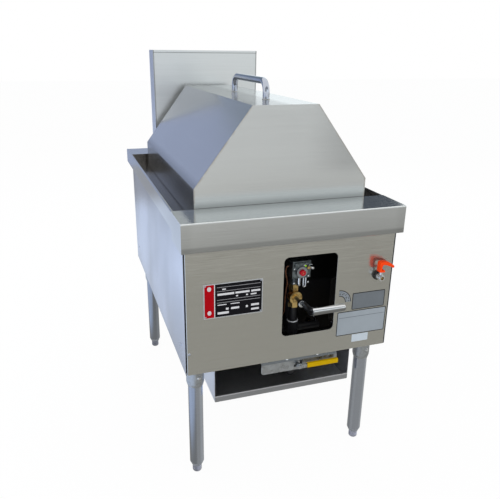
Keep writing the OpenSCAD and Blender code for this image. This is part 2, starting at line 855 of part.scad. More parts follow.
module lever_sleeve() place() color([0.92, 0.76, 0.05]) translate([gas_x + 24, 0, ball_z]) {
    strip = 3;
    y = ball_lever_y + strip / 2;
    w = 10;
    difference() {
        along_x(0, sleeve_l) translate([y, 0]) rounded_rect(w, sleeve_h, 3);
        block(-1, sleeve_l - 8 + 0.02, y - strip / 2 - 0.02, y + strip / 2 + 0.02, -5.02, 5.02);
    }
}

module gas_inlet_pipe() place() color(black) translate([gas_x, gas_y, 0]) {
    inner = pipe_r - 3;
    difference() {
        union() {
            rod_z(pipe_r, inlet_z, ball_z - ball_half);
            translate([0, 0, inlet_z]) {
                sphere(pipe_r + 4);
                rod_y(pipe_r + 4, 0, 24);
                rod_y(pipe_r, 0, inlet_end - thread_l - gas_y);
                rod_y(pipe_r - thread_cut, 0, inlet_end - gas_y);
            }
            translate([0, 0, inlet_z]) rod_z(pipe_r + 4, 0, 18);
        }
        rod_z(inner, inlet_z, ball_z);
        translate([0, 0, inlet_z]) rod_y(inner, 0, inlet_end - gas_y + 1);
    }
}

module gas_riser_pipe() place() color(black) translate([gas_x, gas_y, 0]) {
    z0 = ball_z + ball_half;
    difference() {
        union() {
            rod_z(pipe_r, z0, brass_lo);
            rod_z(pipe_r + 6, coupling_z - coupling_h / 2, coupling_z + coupling_h / 2);
            rod_z(pipe_r + 3.5, coupling_z + coupling_h / 2, coupling_z + coupling_h / 2 + 4);
            rod_z(pipe_r + 3, coupling_z - coupling_h / 2 - 6, coupling_z - coupling_h / 2);
        }
        rod_z(pipe_r - 3, z0 - 1, brass_lo + 1);
    }
}

module gas_valve_body() place() color(brass) translate([gas_x, gas_y, 0]) {
    difference() {
        union() {
            rod_z(12.5, brass_lo, brass_hi);
            translate([0, 0, brass_lo]) cylinder(r = 15, h = 13, $fn = 6);
            translate([0, 0, brass_hi - 20]) cylinder(r = 15, h = 20, $fn = 6);
            translate([0, 0, stem_z]) {
                rod_y(18.5, bonnet_y - gas_y, 0);
                rod_y(10, bonnet_y - gas_y - 5, 0);
            }
        }
        rod_z(pipe_r - 3, brass_lo - 1, brass_hi + 1);
        translate([0, 0, stem_z]) rod_y(valve_stem_r + run_gap, -gas_y, 1);
    }
}

module valve_stem() place() color([0.25, 0.25, 0.26]) translate([gas_x, 0, stem_z]) {
    rod_y(valve_stem_r, hub_y + 2, gas_y - pipe_r);
}

module handle_neck() place() color(black) translate([0, 0, stem_z]) {
    arm = [neck_x - gas_x, bar_y - hub_y - hub_l / 2, 0];
    difference() {
        union() {
            translate([gas_x, 0, 0]) rod_y(hub_r, hub_y, hub_y + hub_l);
            // Tapered arm from the hub to the elbow of the bar
            hull() {
                translate([gas_x + 5, hub_y + hub_l / 2, 0]) sphere(7.5, $fn = 32);
                translate([neck_x, bar_y, 0]) sphere(elbow_r, $fn = 32);
            }
        }
        translate([gas_x, 0, 0]) rod_y(valve_stem_r, hub_y + 2, hub_y + hub_l + 6);
        translate([gas_x, 0, 0]) rod_y(7, hub_y - 60, hub_y);
        translate([gas_x, 0, 0]) rod_y(2.5, hub_y - 1, hub_y + 3);
        block(bar_x0, bar_x0 + 50, bar_y - 50, bar_y + 50, -50, 50);
    }
}

module handle_bar() place() color(steel) translate([0, bar_y, stem_z]) {
    tip = 5;
    translate([bar_x0, 0, 0]) rotate([0, 90, 0]) cylinder(r1 = bar_r, r2 = bar_r - 1, h = bar_l - tip);
    translate([bar_x0 + bar_l - tip, 0, 0]) rotate([0, 90, 0])
        cylinder(r1 = bar_r - 1, r2 = bar_r - 5, h = tip);
}

module handle_screw() place() color(steel) translate([gas_x, 0, stem_z]) {
    rod_y(2.5, hub_y, hub_y + 2);
    translate([0, hub_y, 0]) rotate([90, 0, 0]) cylinder(r1 = 5, r2 = 3.6, h = 2.6);
}

module safety_valve_body() place() color(galvanised) {
    x1 = safety_x0 + safety_w;
    y1 = gas_y + safety_back;
    difference() {
        union() {
            block(safety_x0, x1, safety_y, y1, safety_z, safety_z + safety_h);
            block(safety_x0 + 6, x1 - 6, safety_y - 4, safety_y, safety_z + safety_h - 16,
                safety_z + safety_h - 4);
            translate([button_x, 0, button_z]) rod_y(boss_r, safety_y - boss_l, safety_y);
            // Inlet neck down to the brass valve, outlet at the rear
            translate([gas_x, gas_y, 0]) rod_z(pipe_r + 2, brass_hi, safety_z);
        }
        translate([button_x, 0, button_z])
            rod_y(button_d / 2 + seat_gap, safety_y - boss_l - 1, safety_y + button_travel + 4);
        translate([gas_x, gas_y, 0]) rod_z(pipe_r - 3, brass_hi - 1, safety_z + 12);
    }
}

module reset_button() place() color([0.75, 0.06, 0.10]) translate([button_x, 0, button_z]) {
    y0 = safety_y - boss_l - button_proud;
    r = button_d / 2;
    difference() {
        union() {
            rod_y(r, y0 + 1.5, safety_y - 0.5);
            translate([0, y0, 0]) rotate([-90, 0, 0]) cylinder(r1 = r - 1.5, r2 = r, h = 1.5);
        }
        rod_y(r * 0.35, y0 - 1, y0 + 1.2);
    }
}

module valve_fittings() place() {
    // Plated test fitting with a brass nut at the right of the valve
    color(steel) translate([safety_x0 + safety_w - 4, 0, safety_z + 36]) {
        rod_y(5.5, safety_y - 20, safety_y - 8);
        translate([0, safety_y - 23, 0]) rotate([-90, 0, 0]) cylinder(r1 = 3, r2 = 5.5, h = 3);
    }
    color(brass) translate([safety_x0 + safety_w - 4, 0, safety_z + 36])
        translate([0, safety_y - 8, 0]) rotate([-90, 0, 0]) cylinder(r = 7, h = 4, $fn = 6);
    // Round sight on the raised bar
    color([0.65, 0.85, 0.1]) translate([safety_x0 + 33, safety_y - 4, safety_z + safety_h - 10])
        rotate([90, 0, 0]) cylinder(r = 3, h = 1.2);
}

pilot_x = safety_x0 + 36;
pilot_y = safety_y + 5;
pilot_r = 2.6;
pilot_drop = 32;

// Plated pilot gas tube: down from the valve, round a hook and back up behind it
module pilot_tube() place() color(steel) translate([pilot_x, pilot_y, 0]) {
    z1 = safety_z;
    z0 = z1 - pilot_drop + 7;
    rod_z(pilot_r, z0, z1);
    translate([7, 0, 0]) rod_z(pilot_r, z0, z1);
    translate([3.5, 0, z0]) rotate([-90, 0, 0]) rotate_extrude(angle = 180)
        translate([3.5, 0]) circle(pilot_r);
    translate([-14, 0, 0]) {
        rod_z(5.5, z1 - 18, z1);
        translate([0, 0, z1 - 23]) cylinder(r = 6, h = 5, $fn = 6);
    }
}

// Copper lead: leaves the left of the safety valve and drops to the pilot burner
lead_r = 2.4;
lead_x = gas_x - 22;
lead_y = gas_y - 6;
lead_end_z = burner_z + 34;
lead_points = [
    [safety_x0 - lead_r - 0.05, lead_y, safety_z + 30],
    [safety_x0 - 8, lead_y, safety_z + 28],
    [safety_x0 - 10, lead_y + 1, safety_z + 14],
    [safety_x0 - 6, lead_y + 2, safety_z - 4],
    [lead_x + 2, gas_y + 1, safety_z - 23],
    [lead_x + 1, gas_y + 6, stem_z + 17],
    [lead_x, gas_y + 8, stem_z - 17],
    [lead_x, gas_y + 11, lead_end_z + 33],
    [lead_x, gas_y + 23, lead_end_z + 13],
    [lead_x, liner_y0, lead_end_z + 6],
    [lead_x, liner_y0 + 20, lead_end_z + lead_r + 0.05]
];

module thermocouple_tube() place() color(copper)
    for (i = [0 : len(lead_points) - 2]) hull() {
        translate(lead_points[i]) sphere(lead_r, $fn = 16);
        translate(lead_points[i + 1]) sphere(lead_r, $fn = 16);
    }

// Burners and chamber

module gas_manifold() place() color(black) {
    outlet_z = safety_z + 25;
    y0 = gas_y + safety_back;
    difference() {
        union() {
            translate([gas_x, 0, outlet_z]) rod_y(pipe_r, y0, manifold_y);
            translate([gas_x, manifold_y, 0]) rod_z(pipe_r, burner_z, outlet_z);
            translate([gas_x, manifold_y, outlet_z]) sphere(pipe_r);
            translate([0, manifold_y, burner_z])
                rod_x(pipe_r, burner_xs[0] - 20, burner_xs[1] + 20);
        }
        for (x = burner_xs) translate([x, 0, burner_z]) rod_y(4, manifold_y, manifold_y + 20);
    }
}

module gas_orifices() place() color(brass) for (x = burner_xs) translate([x, 0, burner_z]) {
    difference() {
        union() {
            rod_y(4, manifold_y + 5, manifold_y + pipe_r);
            translate([0, manifold_y + pipe_r, 0]) rotate([-90, 0, 0]) cylinder(r = 6, h = 5, $fn = 6);
            translate([0, manifold_y + pipe_r + 5, 0]) rotate([-90, 0, 0]) cylinder(r1 = 4, r2 = 2.5, h = 8);
        }
        rod_y(1, manifold_y, manifold_y + 40);
    }
}

module burner_tubes() place() color([0.3, 0.3, 0.31]) for (x = burner_xs) translate([x, 0, burner_z]) {
    y0 = liner_y0 + 6;
    y1 = liner_y0 + burner_l;
    ports = 16;
    pitch = (burner_l - 120) / ports;
    difference() {
        union() {
            rod_y(burner_r, y0 + 60, y1);
            translate([0, y0, 0]) rotate([-90, 0, 0])
                cylinder(r1 = burner_r - 4, r2 = burner_r * 0.55, h = 30);
            translate([0, y0 + 30, 0]) rotate([-90, 0, 0])
                cylinder(r1 = burner_r * 0.55, r2 = burner_r, h = 30);
            // Feet that stand on the hanger bars
            block(-12, 12, hanger_ys[1] + 2, hanger_ys[1] + rail - 2, frame_z + rail_t - burner_z, 0);
            block(-12, 12, y0 + 4, y0 + 12, frame_z + rail_t - burner_z, 0);
        }
        rod_y(burner_r - 3, y0 + 61, y1 - 3);
        rod_y(burner_r * 0.4, y0 - 1, y0 + 70);
        for (i = [0 : ports - 1])
            translate([0, y0 + 80 + (i + 0.5) * pitch, burner_r]) cube([burner_r, 4, 12], center = true);
    }
}

module pilot_burner() place() color(galvanised) translate([lead_x, liner_y0 + 20, burner_z + 20]) {
    rod_z(5, 0, lead_end_z - burner_z - 20);
    block(-1, 1, -20 + panel_t, 0, 2, 12);
    translate([-9, 0, 0]) rod_z(3, 0, 22);
    block(-9, 0, -2, 2, 2, 8);
}

module chamber_liner() place() color([0.2, 0.2, 0.2]) {
    top = tank_z;
    difference() {
        block(-liner_x, liner_x, liner_y0, liner_y1 + panel_t, liner_z, top);
        block(-liner_x + panel_t, liner_x - panel_t, liner_y0 + panel_t, liner_y1, liner_z - 1, top + 1);
        block(-throat_x + panel_t, throat_x - panel_t, liner_y1 - 1, liner_y1 + 9,
            throat_z + panel_t, throat_z + throat_h - panel_t);
        for (x = burner_xs) translate([x, 0, burner_z]) rod_y(burner_r - 2, liner_y0 - 1, liner_y0 + 9);
        translate([lead_x, liner_y0, lead_end_z + 6]) cube([14, 20, 20], center = true);
    }
}

// Plates against the liner's front close the space between it and the side panels
module side_baffles() place() color(galvanised) mirrored_x()
    block(liner_x - baffle_lap, cab_x - panel_t - baffle_gap, liner_y0 - panel_t, liner_y0,
        frame_z + rail + baffle_gap, tank_z - 2 * baffle_gap);

// Water valve, fill pipe and drain

module water_valve_nut() place() color(black) translate([water_x, 0, water_z]) difference() {
    union() {
        rod_y(water_nut_r, panel_setback - 4, panel_setback);
        translate([0, water_y1, 0]) rotate([-90, 0, 0])
            cylinder(r = water_nut_r - 0.5, h = panel_setback - 3 - water_y1, $fn = 6);
    }
    rod_y(water_shank_r, water_y1 - 1, panel_setback + 1);
}

module water_valve_body() place() translate([water_x, 0, water_z]) {
    stem_top = water_r + 8;
    color(steel) difference() {
        union() {
            rod_y(water_r, water_y0 + 4, water_y1);
            rod_y(water_shank_r, water_y0 + 4, panel_setback + panel_t + water_tail);
            translate([0, water_stem_y, 0]) rod_z(4.7, 0, stem_top);
            // Spout neck in front
            rod_y(water_r - 2, water_y0, water_y0 + 4);
        }
        rod_y(5, water_y0 - 1, panel_setback + 60);
        translate([0, water_stem_y, 0]) rod_z(3 + run_gap, water_r - 3, stem_top + 1);
    }
}

// Orange lever: a cap on the stem, an upright leg and a drooping paddle
module water_lever() place() color([0.93, 0.25, 0.08]) translate([water_x, water_stem_y, water_z]) {
    z0 = water_r + 8 + seat_gap;
    leg_h = 30;
    w = water_lever_w;
    droop = 14;
    rod_z(3, water_r - 2, z0 + 1);
    block(-9, 9, -w / 2, w / 2, z0, z0 + 5);
    block(-9, -5, -w / 2, w / 2, z0, z0 + leg_h);
    block(5, 9, -w / 2, w / 2, z0, z0 + leg_h - 5);
    block(-9, 6, -w / 2, w / 2, z0 + leg_h - 5, z0 + leg_h);
    translate([0, -w / 2, 0]) rotate([90, 0, 0]) mirror([0, 0, 1]) linear_extrude(w)
        polygon([[6, z0 + leg_h], [6, z0 + leg_h - 6], [water_lever_l - 7, z0 + leg_h - 6 - droop],
            [water_lever_l - 5, z0 + leg_h - 4 - droop], [water_lever_l - 5, z0 + leg_h - 1 - droop],
            [water_lever_l - 7, z0 + leg_h - droop]]);
}

module water_fill_pipe() place() color(copper) {
    y0 = panel_setback + panel_t + water_tail;
    bend_y = y0 + 40;
    difference() {
        union() {
            translate([water_x, 0, water_z]) rod_y(fill_r, y0, bend_y);
            translate([water_x, bend_y, 0]) rod_z(fill_r, water_z, fill_z);
            translate([0, bend_y, fill_z]) rod_x(fill_r, fill_x, water_x);
            translate([fill_x, 0, fill_z]) rod_y(fill_r, bend_y, tank_y0);
            for (p = [[water_x, water_z], [water_x, fill_z], [fill_x, fill_z]])
                translate([p[0], bend_y, p[1]]) sphere(fill_r + 1.5);
        }
        translate([water_x, 0, water_z]) rod_y(fill_r - fill_wall, y0 - 1, bend_y);
        translate([fill_x, 0, fill_z]) rod_y(fill_r - fill_wall, bend_y, tank_y0 + 1);
    }
}

module drain_pipe() place() color(steel) translate([drain_x, drain_y, 0]) {
    end = deck_d - 70 - drain_y;
    difference() {
        union() {
            rod_z(drain_r, drain_z, tank_z);
            translate([0, 0, drain_z]) {
                sphere(drain_r + 3);
                rod_y(drain_r, 0, end - thread_l);
                rod_y(drain_r - thread_cut, 0, end);
            }
        }
        rod_z(drain_r - drain_wall, drain_z, tank_z + 1);
        translate([0, 0, drain_z]) rod_y(drain_r - drain_wall, 0, end + 1);
    }
}

// Plates and small fasteners on the front panel

plate_sheet = 0.8;
sticker_t = 0.4;
notice_r = 3;

// One bare plate or sticker: left edge, top below the deck, width and height
module bare_plate(x, drop, w, h, r, t) {
    translate([x + w / 2, 0, deck_h - drop - h / 2])
        along_y(panel_setback - t, panel_setback) rounded_rect(w, h, r);
}

rating_x = rating_margin - panel_x;
window_x1 = window_x + window_w / 2;

module rating_plate() place() color([0.12, 0.12, 0.13])
    bare_plate(rating_x, rating_drop, rating_w, rating_h, 2, plate_sheet);

module notice_plates() place() color([0.6, 0.62, 0.64]) {
    notice_x = window_x1 + notice_gap;
    label_x = window_x1 + label_gap;
    bare_plate(notice_x, notice_drop, panel_x - notice_margin - notice_x, notice_h, notice_r, sticker_t);
    bare_plate(label_x, label_drop, panel_x - label_margin - label_x, label_h, notice_r, sticker_t);
    bare_plate(panel_x - sticker_margin - sticker_w, sticker_drop, sticker_w, sticker_h, 1, sticker_t);
    // Quarter-ring dial strip
    translate([window_x1 + dial_gap, 0, deck_h - dial_drop])
        along_y(panel_setback - sticker_t, panel_setback)
            intersection() {
                difference() {
                    circle(dial_r);
                    circle(dial_r - dial_w);
                }
                square(dial_r + 2);
            }
}

module plate_rivets() place() color(steel) {
    inset = 5;
    for (x = [rating_x + inset, rating_x + rating_w - inset],
         d = [rating_drop + inset, rating_drop + rating_h - inset])
        translate([x, panel_setback - plate_sheet, deck_h - d]) rotate([90, 0, 0])
            cylinder(r1 = 2.2, r2 = 1.2, h = 0.9);
}

module panel_screws() place() color(steel) {
    z = deck_h - screw_drop;
    mirrored_x() for (y = [panel_setback + 60, cab_y1 - 60])
        translate([cab_x, y, z]) rotate([0, 90, 0]) cylinder(r1 = 4.2, r2 = 2.8, h = 1.8);
    translate([7 - panel_x, panel_setback, z]) rotate([90, 0, 0]) cylinder(r1 = 4.2, r2 = 2.8, h = 1.8);
}

deck();
gutter_sides();
gutter_ends();
water_tank();
steam_rack();
standpipe();
hood_shell();
hood_handle();
handle_nuts();
flue_riser();
flue_duct();
front_panel();
left_panel();
right_panel();
rear_panel();
base_frame();
leg_sockets();
socket_screws();
leg_fl();
leg_fr();
leg_rl();
leg_rr();
leg_collars();
foot_fl();
foot_fr();
foot_rl();
foot_rr();
heat_tray();
valve_bracket();
bracket_screws();
ball_valve_body();
ball_valve_lever();
lever_sleeve();
gas_inlet_pipe();
gas_riser_pipe();
gas_valve_body();
valve_stem();
handle_neck();
handle_bar();
handle_screw();
safety_valve_body();
reset_button();
valve_fittings();
pilot_tube();
thermocouple_tube();
gas_manifold();
gas_orifices();
burner_tubes();
pilot_burner();
chamber_liner();
side_baffles();
water_valve_body();
water_valve_nut();
water_lever();
water_fill_pipe();
drain_pipe();
rating_plate();
notice_plates();
plate_rivets();
panel_screws();
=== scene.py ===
"""Looks for a gas steamer range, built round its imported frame. Run as a script in Blender 4.5."""

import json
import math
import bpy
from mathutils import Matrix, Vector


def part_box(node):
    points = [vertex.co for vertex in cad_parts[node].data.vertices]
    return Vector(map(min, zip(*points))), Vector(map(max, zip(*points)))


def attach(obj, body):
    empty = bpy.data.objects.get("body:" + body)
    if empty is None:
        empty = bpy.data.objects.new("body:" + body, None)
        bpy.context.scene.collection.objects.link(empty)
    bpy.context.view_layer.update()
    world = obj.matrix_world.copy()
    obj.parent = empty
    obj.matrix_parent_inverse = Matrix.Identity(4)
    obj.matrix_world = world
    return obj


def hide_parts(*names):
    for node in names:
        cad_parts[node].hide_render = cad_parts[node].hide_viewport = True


bl_info = {
    "name": "Gas steamer range",
    "version": (1, 0, 0),
    "blender": (4, 5, 0),
    "location": "3D View > Sidebar > Steamer Range",
    "description": "Dresses the packed model of a gas steamer range in brushed sheet, castings and plates",
    "category": "Object",
}

import bmesh
import bpy
from mathutils import Matrix, Vector

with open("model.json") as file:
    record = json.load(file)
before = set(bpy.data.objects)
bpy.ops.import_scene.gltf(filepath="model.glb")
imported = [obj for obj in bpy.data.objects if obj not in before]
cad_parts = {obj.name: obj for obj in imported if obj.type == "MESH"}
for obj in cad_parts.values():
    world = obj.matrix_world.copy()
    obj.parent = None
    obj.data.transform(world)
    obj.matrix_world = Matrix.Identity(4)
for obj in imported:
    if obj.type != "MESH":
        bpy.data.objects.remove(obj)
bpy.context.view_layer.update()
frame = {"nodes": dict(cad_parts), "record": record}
BODY = {node: body for body, nodes in frame["record"]["behaviour"]["bodies"].items() for node in nodes}
MM = 0.001
WELD_DISTANCE = 0.004 * MM  # corners this close in a frame mesh are one corner
FLAT_WITHIN = 0.7  # degrees between faces that belong to one flat face


# Places taken from the frame, in metres

def low(node):
    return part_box(node)[0]


def high(node):
    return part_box(node)[1]


def middle(node):
    lo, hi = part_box(node)
    return (lo + hi) / 2


FRONT = low("deck").y
DECK_FOOT = low("deck").z
DECK_TOP = high("deck").z
DECK_SIDE = high("deck").x
HOOD_LO, HOOD_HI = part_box("hood_shell")
RISER_LO, RISER_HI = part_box("flue_riser")
TRAY_LO = low("heat_tray")


# Node trees

class Value:
    """A socket that takes part in sums: each sum adds a Math node."""

    def __init__(self, tree, socket):
        self.tree = tree
        self.socket = socket

    def __add__(self, other):
        return self.tree.math("ADD", self, other)

    __radd__ = __add__

    def __sub__(self, other):
        return self.tree.math("SUBTRACT", self, other)

    def __rsub__(self, other):
        return self.tree.math("SUBTRACT", other, self)

    def __mul__(self, other):
        return self.tree.math("MULTIPLY", self, other)

    __rmul__ = __mul__

    def __truediv__(self, other):
        return self.tree.math("DIVIDE", self, other)

    def __rtruediv__(self, other):
        return self.tree.math("DIVIDE", other, self)

    def __pow__(self, other):
        return self.tree.math("POWER", self, other)

    def __neg__(self):
        return self * -1.0

    def __abs__(self):
        return self.tree.math("ABSOLUTE", self)

    def __gt__(self, other):
        return self.tree.math("GREATER_THAN", self, other)

    def __lt__(self, other):
        return self.tree.math("LESS_THAN", self, other)


class Tree:
    """Adds nodes to one node tree, for a surface or for repeated geometry."""

    def __init__(self, tree):
        self.tree = tree

    def add(self, kind, settings=None, sockets=None, out=0):
        node = self.tree.nodes.new(kind)
        for name, value in (settings or {}).items():
            if name == "stops":
                ramp = node.color_ramp.elements
                while len(ramp) < len(value):
                    ramp.new(1.0)
                for stop, (position, colour) in zip(ramp, value):
                    stop.position = position
                    stop.color = (*colour, 1.0)
            else:
                setattr(node, name, value)
        for name, value in (sockets or {}).items():
            self.feed(node.inputs[name], value)
        return Value(self, node.outputs[out]) if len(node.outputs) else node

    def feed(self, socket, value):
        if isinstance(value, Value):
            self.tree.links.new(value.socket, socket)
        elif socket.type == "RGBA":
            socket.default_value = (*value[:3], 1.0)
        else:
            socket.default_value = value

    def math(self, operation, *values):
        return self.add("ShaderNodeMath", {"operation": operation}, dict(enumerate(values)))

    def others(self, value):
        """Every output of the node that a value comes from."""
        return [Value(self, socket) for socket in value.socket.node.outputs]


class Finish(Tree):
    """One procedural material on Object coordinates."""

    def __init__(self, name):
        self.material = bpy.data.materials.new(name)
        self.material.use_nodes = True
        super().__init__(self.material.node_tree)
        self.tree.nodes.clear()
        self.where = self.add("ShaderNodeTexCoord", out="Object")
        self.x, self.y, self.z = self.split(self.where)
        self.nx, self.ny, self.nz = self.split(self.add("ShaderNodeTexCoord", out="Normal"))

    def split(self, vector):
        return self.others(self.add("ShaderNodeSeparateXYZ", sockets={0: vector}))

    def point(self, x, y, z):
        return self.add("ShaderNodeCombineXYZ", sockets={0: x, 1: y, 2: z})

    def noise(self, scale, detail=2.0, where=None):
        return self.add("ShaderNodeTexNoise", sockets={
            "Vector": where or self.where, "Scale": scale, "Detail": detail, "Roughness": 0.5})

    def swing(self, noise, amount):
        """A noise that swings this much about 0."""
        return (noise - 0.5) * amount

    def ease(self, value, start, end):
        """0 at the start, 1 at the end, with a soft way between."""
        return self.add("ShaderNodeMapRange", {"interpolation_type": "SMOOTHSTEP"}, {
            "Value": value, "From Min": start, "From Max": end})

    def facing(self, turn):
        """1 where a face looks mostly along the axis that this share of its normal belongs to."""
        return self.ease(turn, 0.5, 0.8)

    def square_on(self, turn):
        """1 where a face looks straight along that axis."""
        return self.ease(turn, 0.8, 0.95)

    def larger(self, a, b):
        return self.math("MAXIMUM", a, b)

    def within(self, value, start, end):
        return (value > start) * (value < end)

    def patch(self, across, up, box):
        """1 inside a rectangle of a plate."""
        left, right, bottom, top = box
        return self.within(across, left, right) * self.within(up, bottom, top)

    def out_from(self, x, z):
        """The distance from a line that runs from front to rear."""
        across, up = self.x - x, self.z - z
        return (across * across + up * up) ** 0.5

    def dulled(self, *zones):
        """The light that is left where each zone takes its share. A share below 0 adds light."""
        return math.prod(1 - zone * share for zone, share in zones)

    def mix(self, share, first, second):
        return self.add("ShaderNodeMix", {"data_type": "RGBA"}, {0: share, 6: first, 7: second}, out=2)

    def tone(self, colour, amount):
        return self.add("ShaderNodeVectorMath", {"operation": "SCALE"}, {0: colour, "Scale": amount})

    def bump(self, height, strength, distance, over=None):
        sockets = {"Height": height, "Strength": strength, "Distance": distance}
        if over:
            sockets["Normal"] = over
        return self.add("ShaderNodeBump", sockets=sockets)

    def done(self, colour, roughness, metallic=1.0, normal=None, **constants):
        sockets = {"Base Color": colour, "Roughness": roughness, "Metallic": metallic}
        sockets.update({name.replace("_", " "): value for name, value in constants.items()})
        if normal:
            sockets["Normal"] = normal
        shader = self.add("ShaderNodeBsdfPrincipled", sockets=sockets)
        self.add("ShaderNodeOutputMaterial", sockets={"Surface": shader})
        return self.material


# Sizes and colours that a user would change

def colour_of(name, default, description):
    return bpy.props.FloatVectorProperty(name=name, description=description, default=default, subtype="COLOR",
                                         size=3, min=0.0, max=1.0)


def length_of(name, default, description):
    return bpy.props.FloatProperty(name=name, description=description, default=default, subtype="DISTANCE",
                                   unit="LENGTH", min=0.0)


def share_of(name, default, description):
    return bpy.props.FloatProperty(name=name, description=description, default=default, subtype="FACTOR",
                                   min=0.0, max=1.0)


class SteelLook(bpy.types.PropertyGroup):
    """Colours and finish of the sheet, tube and zinc."""

    hood: colour_of("Hood", (0.60, 0.613, 0.607), "Brushed sheet of the hood")
    deck: colour_of("Deck", (0.62, 0.635, 0.63), "Brushed sheet of the deck and its apron")
    # The side sheet's blue tint is a painted sky reflection.
    side: colour_of("Side", (0.62, 0.65, 0.80), "Brushed sheet of the side and rear panels")
    trough: colour_of("Gutter", (0.32, 0.30, 0.28), "Sheet of the water gutter")
    # The cabinet is darker than the hood partly as painted shade, for the near floor that the front panel
    # shows.
    cabinet: colour_of("Cabinet", (0.535, 0.53, 0.49), "Brushed sheet of the front panel")
    riser: colour_of("Riser", (0.70, 0.715, 0.715), "Brushed sheet of the flue riser")
    # Painted sky reflection, mixed into the sheet on faces that look to the left.
    sky: colour_of("Sky", (0.56, 0.59, 0.66), "What the sheet takes up from the open side")
    # The tube's blue tint is partly a painted sky reflection.
    tube: colour_of("Tube", (0.51, 0.545, 0.62), "Satin tube of the legs")
    tray: colour_of("Tray", (0.60, 0.61, 0.64), "Sheet of the heat tray")
    zinc: colour_of("Zinc", (0.46, 0.48, 0.50), "Zinc-coated fittings")
    burnt: colour_of("Burnt", (0.10, 0.085, 0.075), "Sheet that the burners have darkened")
    # The baffles' near-black is partly sooty sheet and partly painted shade beside the chamber.
    soot: colour_of("Soot", (0.012, 0.011, 0.010), "Sooty baffles beside the chamber")
    burner: colour_of("Burner", (0.03, 0.028, 0.026), "Cast iron of the burners")
    pilot: colour_of("Pilot", (0.3, 0.3, 0.3), "Bracket of the pilot burner")
    polish: share_of("Polish", 0.17, "Roughness of the sheet")
    grain: bpy.props.FloatProperty(name="Grain", description="Brush lines in a metre", default=900.0,
                                   min=50.0)


class TrimLook(bpy.types.PropertyGroup):
    """Colours of the valves, handles and plates."""

    brass: colour_of("Brass", (0.80, 0.57, 0.23), "Cast and turned brass")
    tarnish: colour_of("Tarnish", (0.16, 0.09, 0.04), "Tarnish on the brass")
    copper: colour_of("Copper", (0.42, 0.20, 0.12), "Copper of the thin sensing tube")
    brown: colour_of("Brown copper", (0.10, 0.05, 0.035), "Tarnish on the thin sensing tube")
    fill_pipe: colour_of("Fill pipe", (0.62, 0.32, 0.20), "Copper of the water fill pipe")
    fill_tarnish: colour_of("Fill pipe tarnish", (0.20, 0.09, 0.05), "Tarnish on the water fill pipe")
    bright: colour_of("Bright", (0.78, 0.79, 0.80), "Bright plating")
    casting: colour_of("Casting", (0.10, 0.115, 0.12), "Die-cast valve body")
    # Pale, so that the coupling's rim carries a painted highlight.
    rim: colour_of("Rim", (0.72, 0.75, 0.78), "Bare rim of the pipe coupling")
    iron: colour_of("Iron", (0.010, 0.010, 0.012), "Black pipe and fittings")
    stem: colour_of("Stem", (0.12, 0.12, 0.125), "Dark steel of the valve stem")
    crank: colour_of("Crank", (0.055, 0.058, 0.065), "Worn black of the crank's neck")
    nut: colour_of("Nut", (0.02, 0.02, 0.02), "Black bulkhead nut of the water valve")
    orange: colour_of("Orange", (0.88, 0.064, 0.008), "Coated lever of the water valve")
    grime: colour_of("Grime", (0.35, 0.01, 0.002), "Grime on the water valve's lever")
    yellow: colour_of("Yellow", (0.52, 0.325, 0.002), "Dipped sleeve of the ball valve lever")
    red: colour_of("Red", (0.42, 0.002, 0.012), "Reset button")
    glass: colour_of("Glass", (0.34, 0.68, 0.01), "Green sight glass of the safety valve")
    plate_red: colour_of("Plate red", (0.36, 0.002, 0.006), "Band of the rating plate")
    notice: colour_of("Notice", (0.16, 0.18, 0.20), "Bare adhesive plates")


class DetailSizes(bpy.types.PropertyGroup):
    """Sizes of the small detail."""

    edge: length_of("Edge", 0.35 * MM, "Broken edge of the sheet")
    cast_edge: length_of("Cast edge", 1.2 * MM, "Rounding of castings")
    bead: length_of("Bead", 1.6 * MM, "Radius of a weld bead")
    ripple: length_of("Ripple", 2.2 * MM, "Distance between the ripples of a bead")
    thread: length_of("Thread", 1.8 * MM, "Pitch of the pipe threads")


class StageLook(bpy.types.PropertyGroup):
    """Floor, lamps and camera."""

    floor: colour_of("Floor", (0.90, 0.90, 0.90), "Pale floor")
    near: colour_of("Near floor", (0.17, 0.165, 0.13), "Floor close to the range, as the steel shows it")
    far: colour_of("Far floor", (0.58, 0.575, 0.54), "Floor in front, as the steel shows it")
    horizon: colour_of("Horizon", (0.80, 0.81, 0.80), "Floor far in front, as the steel shows it")
    shade: colour_of("Open side", (0.62, 0.76, 1.0), "Floor on the left, as the steel shows it")
    night: colour_of("Rear floor", (0.07, 0.09, 0.13), "Floor far behind on the left, as the steel shows it")
    blue: colour_of("Blue card", (0.35, 0.41, 0.57), "Card behind on the left")
    slate: colour_of("Slate card", (0.22, 0.27, 0.33), "Card high up behind on the left")
    grey: colour_of("Grey card", (0.36, 0.38, 0.40), "Card high up in front on the left")
    cool: colour_of("Cool card", (0.90, 0.97, 1.0), "Card high up in front on the right")
    dark: colour_of("Dark card", (0.03, 0.045, 0.07), "Card beside the range, behind on the right")
    daylight: bpy.props.FloatProperty(name="Daylight", description="Strength of the light from all round",
                                      default=0.85, min=0.0)
    key: bpy.props.FloatProperty(name="Key", description="Power of the main lamp", default=55.0, min=0.0,
                                 subtype="POWER", unit="POWER")
    side: bpy.props.FloatProperty(name="Side", description="Power of the cool lamp on the left", default=30.0,
                                  min=0.0, subtype="POWER", unit="POWER")


# Meshes

def new_piece(name, mesh):
    piece = bpy.data.objects.new(name, mesh)
    bpy.context.scene.collection.objects.link(piece)
    return piece


def soften(mesh, angle):
    """Smooth shading, with a sharp edge wherever two faces meet at more than this angle."""
    mesh.shade_smooth()
    mesh.set_sharp_from_angle(angle=math.radians(angle))


def from_bmesh(bm, name, material, angle=35.0):
    mesh = bpy.data.meshes.new(name)
    bm.to_mesh(mesh)
    bm.free()
    soften(mesh, angle)
    mesh.materials.append(material)
    return new_piece(name, mesh)


